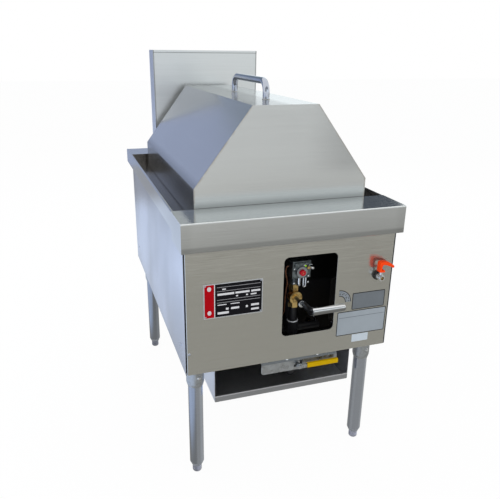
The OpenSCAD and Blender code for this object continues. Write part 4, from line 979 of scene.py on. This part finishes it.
class RANGE_OT_stage(bpy.types.Operator):
    """Lays the pale floor and sets the soft studio light"""

    bl_idname = "steamer.stage"
    bl_label = "Stage and light"

    # Name, colour, left and right, place from front to rear, foot and head, strength
    CARDS = (
        ("Blue card", "blue", (-6.0, 0.9), 4.0, (0.02, 2.1), 1.0),
        ("Slate card", "slate", (-6.0, 0.9), 4.0, (2.1, 5.0), 1.0),
        ("Sky card", "cool", (0.9, 6.0), 4.0, (1.2, 5.0), 1.18),
        ("Dark card", "dark", (0.95, 1.5), 1.2, (0.85, 1.9), 1.0),
        ("Grey card", "grey", (-8.0, 0.0), -6.0, (1.5, 6.0), 1.0),
        ("Cool card", "cool", (0.0, 8.0), -6.0, (1.0, 3.2), 1.15),
        ("High card", "grey", (0.0, 8.0), -6.0, (3.2, 7.0), 0.8))
    # Name, place, height that it aims at, width, power and its share, colour
    LAMPS = (
        ("Key lamp", (-2.3, -2.6, 3.3), 0.6, 3.0, "key", 1.0, (1.0, 0.98, 0.95)),
        ("Side lamp", (-3.6, 0.8, 1.6), 0.6, 2.6, "side", 1.0, (0.82, 0.88, 1.0)),
        ("Back lamp", (1.6, 3.0, 2.6), 0.8, 2.2, "side", 0.8, (1.0, 1.0, 1.0)))
    FLOOR_HALF = 20.0

    def execute(self, context):
        look = context.scene.steamer_stage
        context.scene.view_settings.view_transform = "Standard"
        self.world(context.scene, look)
        self.floor(look)
        for name, colour, *place in self.CARDS:
            self.card(name, getattr(look, colour), *place)
        for name, place, aim, width, power, share, colour in self.LAMPS:
            self.lamp(name, place, (0, 0, aim), width, getattr(look, power) * share, colour)
        return {"FINISHED"}

    def world(self, scene, look):
        """White all round to the camera and in the steel, and a cool daylight on the object."""
        world = bpy.data.worlds.new("Studio")
        world.use_nodes = True
        world.cycles.sampling_method = "NONE"
        t = Tree(world.node_tree)
        world.node_tree.nodes.clear()
        rays = self.rays(t)
        mirrored = t.math("MAXIMUM", rays["Is Glossy Ray"], rays["Is Transmission Ray"])
        seen = t.math("MAXIMUM", rays["Is Camera Ray"], mirrored)
        white = t.add("ShaderNodeBackground", sockets={"Color": (1.0, 1.0, 1.0), "Strength": 1.0})
        light = t.add("ShaderNodeBackground", sockets={
            "Color": (0.97, 0.985, 1.0), "Strength": look.daylight})
        t.add("ShaderNodeOutputWorld", sockets={
            "Surface": t.add("ShaderNodeMixShader", sockets={0: seen, 1: light, 2: white})})
        scene.world = world

    def rays(self, t):
        return {ray.socket.name: ray for ray in t.others(t.add("ShaderNodeLightPath"))}

    def floor(self, look):
        """Pale paper: white to the camera. The steel shows it greyer close by and bluer on the open side."""
        t = Finish("Pale floor")
        rays = self.rays(t)
        in_steel = t.larger(rays["Is Glossy Ray"], rays["Is Transmission Ray"])
        seen = t.larger(rays["Is Camera Ray"] * 0.95, in_steel * 0.3)
        in_front, far_in_front = t.ease(-t.y, 2.2, 3.4), t.ease(-t.y, 3.2, 4.6)
        on_right, on_left = t.ease(t.x, 1.2, 3.5), t.ease(-t.x, 0.32, 0.55)
        behind, far_behind = t.ease(t.y, 1.0, 2.4), t.ease(t.y, 2.3, 3.0) * t.ease(-t.x, -0.6, -0.2)
        shown = t.mix(in_front, tuple(look.near), tuple(look.far))
        shown = t.mix(far_in_front, shown, tuple(look.horizon))
        shown = t.tone(shown, 1 - on_right * 0.16)
        yard = t.tone(tuple(look.shade), 1 - behind * 0.22)
        shown = t.mix(on_left, shown, yard)
        shown = t.mix(far_behind, shown, tuple(look.night))
        paper = t.mix(in_steel, tuple(look.floor), shown)
        coat = t.add("ShaderNodeBsdfDiffuse", sockets={"Color": paper})
        glow = t.add("ShaderNodeEmission", sockets={"Color": (1.0, 1.0, 1.0), "Strength": 1.0})
        t.add("ShaderNodeOutputMaterial", sockets={
            "Surface": t.add("ShaderNodeMixShader", sockets={0: seen, 1: coat, 2: glow})})
        half = self.FLOOR_HALF
        corners = [(-half, -half, 0), (half, -half, 0), (half, half, 0), (-half, half, 0)]
        self.plane("Floor", t.material, corners)

    def card(self, name, colour, across, y, up, strength):
        """A coloured card that shows only in the steel."""
        t = Finish(name)
        t.add("ShaderNodeOutputMaterial", sockets={
            "Surface": t.add("ShaderNodeEmission", sockets={"Color": tuple(colour), "Strength": strength})})
        (left, right), (foot, head) = across, up
        corners = [(left, y, foot), (right, y, foot), (right, y, head), (left, y, head)]
        card = self.plane(name, t.material, corners)
        card.visible_camera = card.visible_diffuse = card.visible_shadow = False

    def plane(self, name, material, corners):
        mesh = bpy.data.meshes.new(name)
        mesh.from_pydata(corners, [], [(0, 1, 2, 3)])
        mesh.materials.append(material)
        piece = new_piece(name, mesh)
        return piece

    def lamp(self, name, place, target, width, power, colour):
        light = bpy.data.lights.new(name, "AREA")
        light.shape = "SQUARE"
        light.size = width
        light.energy = power
        light.color = colour
        lamp = bpy.data.objects.new(name, light)
        bpy.context.scene.collection.objects.link(lamp)
        lamp.location = place
        lamp.rotation_euler = (Vector(target) - Vector(place)).to_track_quat("-Z", "Y").to_euler()
        lamp.visible_camera = False
        lamp.visible_glossy = False


class RANGE_OT_sheet(bpy.types.Operator):
    """Dresses the deck, gutter, hood, riser, cabinet and tray in brushed sheet"""

    bl_idname = "steamer.sheet"
    bl_label = "Sheet metal"

    def execute(self, context):
        look = context.scene.steamer_steel
        edge = context.scene.steamer_sizes.edge
        hood = brushed("Hood sheet", look.hood, look, seams=hood_seams, dim=hood_painted_shade)
        deck = brushed("Deck sheet", look.deck, look, roughness=0.15, dim=deck_painted_light)
        trough = brushed("Gutter sheet", look.trough, look, roughness=0.15, cool=0.2)
        cabinet = brushed("Cabinet sheet", look.cabinet, look, roughness=0.15, shade=0.08, dim=panel_painted_shade,
                          spread=0.7)
        sides = brushed("Side sheet", look.side, look, roughness=0.22, dim=side_painted_light, waves=2.5 * MM)
        riser = brushed("Riser sheet", look.riser, look, roughness=0.30, dim=riser_painted_light)
        tray = brushed("Tray sheet", look.tray, look, roughness=0.40, dim=tray_painted_light)
        dress("hood_shell", hood, edge)
        dress("deck", deck, edge * 2.6, rows=3)
        dress("gutter_sides", trough, edge)
        dress("gutter_ends", trough, edge)
        dress("flue_riser", riser, edge)
        dress("front_panel", cabinet, edge)
        for panel in ("left_panel", "right_panel", "rear_panel"):
            dress(panel, sides, edge)
        dress("heat_tray", tray, edge * 1.6)
        return {"FINISHED"}


class RANGE_OT_grip(bpy.types.Operator):
    """Sweeps the hood grip from tube, with its weld rings and nuts"""

    bl_idname = "steamer.grip"
    bl_label = "Hood grip"

    BEND = 30 * MM
    STUD, STUD_TIP = 4.0 * MM, 3.2 * MM
    RING_GAP = 0.4 * MM

    def execute(self, context):
        look = context.scene.steamer_steel
        bright = context.scene.steamer_trim.bright
        lo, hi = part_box("hood_handle")
        radius = (hi.x - lo.x) / 2
        y0, y1 = lo.y + radius, hi.y - radius
        self.tube(look, radius, y0, y1, hi.z - radius)
        self.studs(bright, lo.z, (y0, y1))
        self.rings(look, radius, (y0, y1))
        dress("handle_nuts", plated("Nut plating", bright, 0.28), 0.6 * MM)
        return {"FINISHED"}

    def tube(self, look, radius, y0, y1, top):
        """Up from the hood, along and down again, with two round bends."""
        satin = tube_steel("Grip tube", look.tube, roughness=0.12, lines=60.0, flow="Y")
        angles = [0.0] + quarter(16)
        rise = [(self.BEND * (1 - math.cos(a)), top - self.BEND * (1 - math.sin(a))) for a in angles]
        line = [(0, y0, HOOD_HI.z)] + [(0, y0 + along, z) for along, z in rise]
        line += [(0, y1 - along, z) for along, z in reversed(rise)] + [(0, y1, HOOD_HI.z)]
        tube = tube_tree(satin).make("grip_tube", path_mesh("grip_path", [line]), {
            "Radius": radius, "Sides": 40})
        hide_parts("hood_handle")
        settle(tube, "hood")

    def studs(self, colour, foot, places):
        """The threaded studs under the grip, which carry its nuts inside the hood."""
        top = HOOD_HI.z + 2 * MM
        profile = [(0, foot), (self.STUD_TIP, foot), (self.STUD, foot + 1 * MM), (self.STUD, top), (0, top)]
        bolts = bmesh.new()
        for y in places:
            lathe(bolts, profile, (0, y, 0))
        studs = from_bmesh(bolts, "grip_studs", plated("Stud plating", colour, 0.3))
        settle(studs, "hood")

    def rings(self, look, radius, places):
        """Ground weld beads round the grip's feet."""
        out = radius + self.RING_GAP
        seams = [[(math.cos(a) * out, y + math.sin(a) * out, HOOD_HI.z + 0.6 * MM)
                  for a in circle(48) + [2 * math.pi]] for y in places]
        bead = weld_tree(tube_steel("Ground bead", look.hood, roughness=0.28)).make(
            "grip_beads", path_mesh("grip_bead_path", seams), {"Radius": 1.3 * MM, "Ripple": 1.7 * MM})
        settle(bead, "hood")


class RANGE_OT_legs(bpy.types.Operator):
    """Dresses the legs, sockets and levelling feet"""

    bl_idname = "steamer.legs"
    bl_label = "Legs and feet"

    SHOULDER = 23.7 * MM
    NOSE, CHAMFER = 6 * MM, 2 * MM
    GROOVES, GROOVE_DEPTH, GROOVE_HALF = (12 * MM, 16 * MM), 0.8 * MM, 0.3 * MM
    CREST, ROOT, PITCH, RUN_DOWN = 5.9 * MM, 5.3 * MM, 1.75 * MM, 0.85 * MM

    def execute(self, context):
        look = context.scene.steamer_steel
        trim = context.scene.steamer_trim
        # shade gives the legs painted shade and painted reflection bands.
        satin = tube_steel("Leg tube", look.tube, roughness=0.15, shade=0.35)
        for leg in ("leg_fl", "leg_fr", "leg_rl", "leg_rr"):
            dress(leg, satin)
        dress("leg_sockets", zinc("Socket casting", look.zinc, size=220.0), 0.8 * MM)
        dress("leg_collars", zinc("Collar casting", look.tube, size=300.0), 0.4 * MM)
        # The feet take the side sheet's painted blue, with painted shade and painted reflection bands.
        foot_finish = tube_steel("Foot bar", look.side, roughness=0.30, lines=900.0, shade=0.40)
        for foot in ("foot_fl", "foot_fr", "foot_rl", "foot_rr"):
            self.foot(foot, foot_finish)
        paint(["socket_screws"], plated("Screw plating", trim.bright, 0.3))
        return {"FINISHED"}

    def foot(self, node, material):
        """A turned bullet foot with two grooves, on its threaded stem."""
        lo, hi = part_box(node)
        at = middle(node)
        r = (hi.x - lo.x) / 2
        inner, nose, depth, half = r - self.NOSE, self.NOSE, self.GROOVE_DEPTH, self.GROOVE_HALF
        profile = [(0, lo.z), (inner, lo.z)]
        profile += [(inner + nose * math.sin(a), lo.z + nose * (1 - math.cos(a))) for a in quarter(6)]
        for z in self.GROOVES:
            profile += [(r, z - depth), (r - depth, z - half), (r - depth, z + half), (r, z + depth)]
        top = self.SHOULDER
        profile += [(r, top - self.CHAMFER), (r - self.CHAMFER, top), (self.CREST, top)]
        for turn in range(int((hi.z - top - 2 * MM) / self.PITCH)):
            z = top + 1 * MM + turn * self.PITCH
            profile += [(self.CREST, z), (self.ROOT, z + self.RUN_DOWN)]
        profile += [(5.6 * MM, hi.z - 0.6 * MM), (5.0 * MM, hi.z), (0, hi.z)]
        piece = turned_piece(node + ".turned", profile, (at.x, at.y, 0.0), material, sides=40, angle=28.0)
        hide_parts(node)
        settle(piece, BODY[node])


class RANGE_OT_underside(bpy.types.Operator):
    """Dresses the bracket, base frame and ball valve"""

    bl_idname = "steamer.underside"
    bl_label = "Bracket and ball valve"

    def execute(self, context):
        look = context.scene.steamer_steel
        trim = context.scene.steamer_trim
        # The bracket's sloping faces take painted shade.
        bracket = zinc("Bracket zinc", look.zinc, roughness=0.34, size=110.0, shade=0.55)
        dress("valve_bracket", bracket, 0.8 * MM)
        dress("base_frame", zinc("Frame zinc", look.zinc, size=80.0), 0.5 * MM)
        dress("bracket_screws", plated("Bracket screw plating", trim.bright, 0.2))
        dress("ball_valve_body", zinc("Valve plating", look.zinc, roughness=0.26, size=350.0), 1.0 * MM)
        dress("ball_valve_lever", zinc("Lever zinc", look.zinc, roughness=0.30, size=300.0), 0.6 * MM)
        sleeve = moulded("Dipped sleeve", trim.yellow, 0.50, dirt=0.15, gloss=0.03)
        dress("lever_sleeve", sleeve, 2.2 * MM, rows=3)
        return {"FINISHED"}


class RANGE_OT_gas_train(bpy.types.Operator):
    """Dresses the gas pipes, valve, crank handle and safety valve"""

    bl_idname = "steamer.gas_train"
    bl_label = "Gas train"

    # Outlines of small turned pieces: radius and distance from their start, in millimetres
    NUT = ((0, 0), (4.8, 0), (4.8, -3.0), (4.0, -4.0), (2.2, -4.0), (2.2, -3.0), (0, -3.0))
    RIVET = ((0, 0), (1.3, 0), (1.1, -0.6), (0, -0.8))
    RIM = ((13.5, 1.8), (16.0, 1.4), (16.7, 0.4), (16.7, -0.6), (13.5, -0.6), (13.5, 1.8))
    WASHER = ((0, 0), (9.4, 0), (9.4, -0.6), (8.6, -1.2), (7.0, -1.2), (6.6, -0.4), (0, -0.4))
    GLASS = ((0, 0), (2.8, 0), (2.8, -0.6), (2.0, -1.4), (0, -1.8))

    def execute(self, context):
        trim = context.scene.steamer_trim
        sizes = context.scene.steamer_sizes
        iron = black_coat("Black pipe", trim.iron)
        for node in ("gas_inlet_pipe", "gas_riser_pipe", "gas_manifold"):
            dress(node, iron, 0.5 * MM)
        brass = turned("Valve brass", trim.brass, trim.tarnish)
        dress("gas_valve_body", brass, sizes.cast_edge)
        dress("gas_orifices", brass, 0.3 * MM)
        dress("valve_stem", black_coat("Stem steel", trim.stem, 0.35, metallic=1.0))
        crank = cast("Crank skin", trim.crank, roughness=0.36, size=180.0, patches=1.2)
        dress("handle_neck", crank, 0.8 * MM)
        self.bar(bar_plating(trim.bright))
        bright = plated("Bright fittings", trim.bright)
        dress("handle_screw", bright, 0.3 * MM)
        casting = valve_casting(trim.casting)
        dress("safety_valve_body", casting, sizes.cast_edge)
        self.button(moulded("Button plastic", trim.red, 0.25, coat=0.2, dirt=0.08, gloss=0.3))
        dress("valve_fittings", bright, 0.4 * MM)
        dress("pilot_tube", bright, 0.3 * MM)
        paint(["thermocouple_tube"], turned("Copper tube", trim.copper, trim.brown, 0.36))
        self.cover_screws(bright)
        self.washer(bright)
        self.sight_glass(moulded("Sight glass", trim.glass, 0.2, dirt=0.0))
        # A pale ring that paints the coupling's highlight.
        self.coupling_rim(cast("Coupling rim", trim.rim, 0.3, 0.4))
        self.brass_ends(brass)
        return {"FINISHED"}

    def bar(self, material):
        """The bright bar: slightly tapered, with a crowned end and a turned shoulder at the neck."""
        lo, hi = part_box("handle_bar")
        at = middle("handle_bar")
        r = (hi.z - lo.z) / 2
        crown = 5 * MM
        rim = r - 6.5 * MM
        profile = [(0, lo.x), (r - 0.8 * MM, lo.x), (r, lo.x + 1.2 * MM), (r - 0.2 * MM, lo.x + 6 * MM),
                   (r - 1.0 * MM, lo.x + 55 * MM), (r - 1.5 * MM, hi.x - 5.5 * MM)]
        profile += [(rim + crown * math.cos(a), hi.x - crown * (1 - math.sin(a))) for a in quarter(8)]
        profile.append((0, hi.x))
        piece = turned_piece("handle_bar.turned", profile, (0.0, at.y, at.z), material, "X", 48, 40.0)
        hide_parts("handle_bar")
        settle(piece, BODY["handle_bar"])

    def button(self, material):
        """The reset button: a domed cap with a dimple."""
        lo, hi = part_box("reset_button")
        at = middle("reset_button")
        r = (hi.x - lo.x) / 2
        profile = [(0, lo.y + 1.6 * MM), (r * 0.25, lo.y + 1.4 * MM), (r * 0.42, lo.y + 0.4 * MM),
                   (r * 0.52, lo.y), (r - 2.2 * MM, lo.y + 0.2 * MM), (r - 0.8 * MM, lo.y + 0.8 * MM),
                   (r, lo.y + 2.2 * MM), (r, hi.y), (0, hi.y)]
        piece = turned_piece("reset_button.moulded", profile, (at.x, 0.0, at.z), material, "Y", 40, 50.0)
        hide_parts("reset_button")
        settle(piece, BODY["reset_button"])

    def cover_screws(self, material):
        """Domed screws near the corners of the safety valve's cover, inside the body's own box."""
        lo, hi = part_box("safety_valve_body")
        inset, face = 6 * MM, lo.y + 7 * MM
        spots = [(hi.x - inset, face, lo.z + 12 * MM), (lo.x + inset, face, lo.z + 12 * MM),
                 (lo.x + inset, face, hi.z - 22 * MM), (hi.x - inset, face, lo.z + 30 * MM)]
        mesh = bpy.data.meshes.new("cover_spots")
        mesh.from_pydata(spots, [], [])
        heads = head_tree(material).make("cover_screws", mesh, {"Radius": 2.8 * MM, "Height": 1.2 * MM})
        settle(heads, "body")

    def washer(self, material):
        """The washer behind the head of the crank's hub screw."""
        hub = middle("handle_screw")
        face = high("handle_screw").y - 2 * MM
        washer = fitting("hub_washer", self.WASHER, face, (hub.x, 0.0, hub.z), material)
        settle(washer, BODY["handle_screw"])

    def sight_glass(self, material):
        """The green glass that stands off the safety valve's face."""
        face = low("safety_valve_body").y - 4.1 * MM
        at = (middle("reset_button").x + 7 * MM, 0.0, high("safety_valve_body").z - 10 * MM)
        glass = fitting("sight_glass", self.GLASS, face, at, material, sides=24, angle=50.0)
        settle(glass, "body")

    def coupling_rim(self, material):
        """The bare rim round the top of the riser pipe's coupling, pale and bright so that it paints the
        highlight there.
        """
        stem = middle("valve_stem")
        at = (stem.x, middle("gas_riser_pipe").y, 0.0)
        rim = fitting("coupling_ring", self.RIM, stem.z - 77.2 * MM, at, material, "Z", 48, 40.0)
        settle(rim, BODY["gas_riser_pipe"])

    def brass_ends(self, material):
        """A brass nut on the safety valve's face, and the rivet in the middle of its button, whose pale brass
        dot also paints the button's highlight.
        """
        button = middle("reset_button")
        face = low("safety_valve_body").y
        at = (button.x + 17 * MM, 0.0, button.z + 13 * MM)
        settle(fitting("face_nut", self.NUT, face, at, material, sides=6, angle=25.0), "body")
        # The rivet's pale dot also paints the highlight on the button.
        tip = low("reset_button").y + 1.6 * MM
        at = (button.x, 0.0, button.z)
        rivet = fitting("button_rivet", self.RIVET, tip, at, material, sides=20, angle=40.0)
        settle(rivet, BODY["reset_button"])


class RANGE_OT_water_train(bpy.types.Operator):
    """Dresses the water valve, its lever, and the fill and drain pipes"""

    bl_idname = "steamer.water_train"
    bl_label = "Water train"

    # The lever's outline from the front: right of its stem and down from its top, in millimetres
    LEG_FOOT = -30.0
    LEVER = (
        (-9.0, LEG_FOOT), (-9.0, -4.5), (-7.8, -1.5), (-5.0, 0.0), (6.0, -0.5), (15.0, -2.5), (24.0, -6.5),
        (31.0, -11.0), (34.5, -14.5), (35.0, -17.0), (33.5, -19.5), (30.0, -19.5), (22.0, -15.0),
        (12.0, -10.5), (2.0, -8.5), (-1.5, -11.0), (-3.0, -16.0), (-3.0, LEG_FOOT + 5.0),
        (7.0, LEG_FOOT + 5.0), (7.0, LEG_FOOT))
    STEM_IN, STEM_RADIUS = 9 * MM, 3 * MM
    # Radius and distance behind the valve's face, in millimetres
    BALL = ((0, 1.2), (2.5, 1.9), (4.2, 3.6), (4.8, 6.0), (0, 6.0))

    def execute(self, context):
        trim = context.scene.steamer_trim
        look = context.scene.steamer_steel
        dress("water_valve_body", plated("Water valve plating", trim.bright, 0.22), 0.6 * MM)
        dress("water_valve_nut", black_coat("Bulkhead nut", trim.nut, 0.4), 0.6 * MM)
        self.lever(moulded("Lever coat", trim.orange, 0.45, dirt=0.12, gloss=0.04, dark=tuple(trim.grime)))
        self.ball(turned("Valve ball", trim.brass, trim.tarnish))
        dress("water_fill_pipe", turned("Water copper", trim.fill_pipe, trim.fill_tarnish), 0.4 * MM)
        dress("drain_pipe", tube_steel("Drain steel", look.tube, roughness=0.3), 0.4 * MM)
        return {"FINISHED"}

    def lever(self, material):
        """The lever: a leg beside the stem, then an arm that bows down to its rounded end."""
        lo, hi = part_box("water_lever")
        stem, top = lo.x + self.STEM_IN, hi.z
        outline = [(stem + x * MM, top + z * MM) for x, z in self.LEVER]
        bm = bmesh.new()
        near = [bm.verts.new((x, lo.y, z)) for x, z in outline]
        far = [bm.verts.new((x, hi.y, z)) for x, z in outline]
        bm.faces.new(near)
        bm.faces.new(far[::-1])
        for i in range(len(outline)):
            j = (i + 1) % len(outline)
            bm.faces.new((near[j], near[i], far[i], far[j]))
        bmesh.ops.recalc_face_normals(bm, faces=bm.faces)
        break_edges(bm, 1.0 * MM, turn=60.0)
        end = top + (self.LEG_FOOT + 1.0) * MM
        lathe(bm, [(0, lo.z), (self.STEM_RADIUS, lo.z), (self.STEM_RADIUS, end), (0, end)],
              (stem, middle("water_lever").y, 0.0), sides=24)
        piece = from_bmesh(bm, "water_lever.coat", material, 45.0)
        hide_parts("water_lever")
        settle(piece, BODY["water_lever"])

    def ball(self, material):
        """The closed ball, seen in the mouth of the water valve."""
        at = (middle("water_valve_body").x, 0.0, middle("water_valve_nut").z)
        face = low("water_valve_body").y
        ball = fitting("water_valve_ball", self.BALL, face, at, material, sides=32, angle=60.0)
        settle(ball, "body")


class RANGE_OT_inside(bpy.types.Operator):
    """Dresses the tank, rack, standpipe, chamber, baffles, burners and duct"""

    bl_idname = "steamer.inside"
    bl_label = "Tank and burners"

    def execute(self, context):
        look = context.scene.steamer_steel
        tank = brushed("Tank sheet", look.deck, look, roughness=0.3, dim=tank_soot_and_shade)
        dress("water_tank", tank, 0.4 * MM)
        dress("steam_rack", brushed("Rack sheet", look.hood, look, roughness=0.28), 0.4 * MM)
        dress("standpipe", tube_steel("Standpipe", look.tube, roughness=0.28), 0.4 * MM)
        dress("chamber_liner", heat_worn("Chamber sheet", look.burnt))
        # The baffles' near-black is partly sooty sheet and partly painted shade beside the chamber.
        dress("side_baffles", black_coat("Sooty sheet", look.soot, 0.6, rubbed=0.2))
        dress("burner_tubes", cast("Burner iron", look.burner, roughness=0.6), 0.6 * MM)
        dress("pilot_burner", cast("Pilot bracket", look.pilot, roughness=0.45), 0.3 * MM)
        dress("flue_duct", zinc("Duct zinc", look.zinc, size=70.0), 0.4 * MM)
        return {"FINISHED"}


class RANGE_OT_plates(bpy.types.Operator):
    """Dresses the bare rating plate, the bare notices, rivets and panel screws"""

    bl_idname = "steamer.plates"
    bl_label = "Plates and fasteners"

    def execute(self, context):
        trim = context.scene.steamer_trim
        bright = plated("Fastener plating", context.scene.steamer_steel.tube, 0.30)
        dress("rating_plate", rating_finish(trim), 0.3 * MM)
        dress("notice_plates", notice_finish(trim), 0.1 * MM)
        dress("plate_rivets", bright)
        dress("panel_screws", bright, 0.3 * MM)
        return {"FINISHED"}


class RANGE_OT_seams(bpy.types.Operator):
    """Adds weld beads at the riser and the gutter corners, and the pipe threads"""

    bl_idname = "steamer.seams"
    bl_label = "Welds and threads"

    WALL = 1.5 * MM
    RISER_FOLD = 1.2 * MM
    BEAD_GAP = 0.7 * MM
    THREAD_LENGTH, THREAD_END, THREAD_DEPTH = 20 * MM, 1.2 * MM, 0.5 * MM

    def execute(self, context):
        look = context.scene.steamer_steel
        trim = context.scene.steamer_trim
        sizes = context.scene.steamer_sizes
        bead = tube_steel("Weld bead", look.riser, roughness=0.3, lines=300.0)
        paths = path_mesh("weld_path", [self.riser_foot()] + self.gutter_corners())
        welds = weld_tree(bead).make("sheet_welds", paths, {"Radius": sizes.bead, "Ripple": sizes.ripple})
        settle(welds, "body")
        iron = black_coat("Thread iron", trim.iron, 0.3, metallic=0.8, rubbed=0.5)
        self.thread("gas_inlet_pipe", "gas_thread", 282 * MM, 10.35 * MM, iron, sizes.thread)
        steel = tube_steel("Thread steel", look.tube, roughness=0.25)
        self.thread("drain_pipe", "drain_thread", 519 * MM, 13.1 * MM, steel, sizes.thread)
        return {"FINISHED"}

    def riser_foot(self):
        """Round the riser, where it stands on the deck."""
        left, right = RISER_LO.x - self.BEAD_GAP, RISER_HI.x + self.BEAD_GAP
        front, rear = RISER_LO.y + self.RISER_FOLD - self.BEAD_GAP, RISER_HI.y + self.BEAD_GAP
        corners = ((left, rear), (left, front), (right, front), (right, rear), (left, rear))
        return [(x, y, DECK_TOP) for x, y in corners]

    def gutter_corners(self):
        """Up the four inner corners of the gutter."""
        lo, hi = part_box("gutter_sides")
        return [[(x, y, lo.z + self.WALL), (x, y, DECK_TOP - 4 * MM)]
                for x in (lo.x + self.WALL, hi.x - self.WALL) for y in (lo.y + self.WALL, hi.y - self.WALL)]

    def thread(self, node, name, height, radius, material, pitch):
        """A pipe thread on the rear end of a pipe that runs from front to rear at this height."""
        x, end = middle(node).x, high(node).y
        line = [(x, end - self.THREAD_LENGTH + self.THREAD_END, height), (x, end - self.THREAD_END, height)]
        ring = thread_tree(material).make(name, path_mesh(name + "_path", [line]), {
            "Radius": radius, "Pitch": pitch, "Depth": self.THREAD_DEPTH, "Sides": 40}, 20.0)
        settle(ring, BODY[node])


class RANGE_PT_panel(bpy.types.Panel):
    """Lists the pieces and their sizes"""

    bl_label = "Steamer Range"
    bl_idname = "RANGE_PT_panel"
    bl_space_type = "VIEW_3D"
    bl_region_type = "UI"
    bl_category = "Steamer Range"

    def draw(self, context):
        for operator in STEPS:
            self.layout.operator(operator.bl_idname)
        for name in GROUPS:
            group = getattr(context.scene, name)
            box = self.layout.box()
            box.label(text=name.replace("_", " ").capitalize())
            for prop in group.bl_rna.properties:
                if prop.identifier not in ("rna_type", "name"):
                    box.prop(group, prop.identifier)


GROUPS = {"steamer_steel": SteelLook, "steamer_trim": TrimLook, "steamer_sizes": DetailSizes,
          "steamer_stage": StageLook}
STEPS = (RANGE_OT_camera, RANGE_OT_stage, RANGE_OT_sheet, RANGE_OT_grip, RANGE_OT_legs, RANGE_OT_underside,
         RANGE_OT_gas_train, RANGE_OT_water_train, RANGE_OT_inside, RANGE_OT_plates, RANGE_OT_seams)


def register():
    for group in GROUPS.values():
        bpy.utils.register_class(group)
    for operator in STEPS:
        bpy.utils.register_class(operator)
    bpy.utils.register_class(RANGE_PT_panel)
    for name, group in GROUPS.items():
        setattr(bpy.types.Scene, name, bpy.props.PointerProperty(type=group))


def unregister():
    for name in GROUPS:
        delattr(bpy.types.Scene, name)
    bpy.utils.unregister_class(RANGE_PT_panel)
    for operator in reversed(STEPS):
        bpy.utils.unregister_class(operator)
    for group in GROUPS.values():
        bpy.utils.unregister_class(group)


def main():
    register()
    for operator in STEPS:
        family, name = operator.bl_idname.split(".")
        getattr(getattr(bpy.ops, family), name)()


if __name__ == "__main__":
    main()
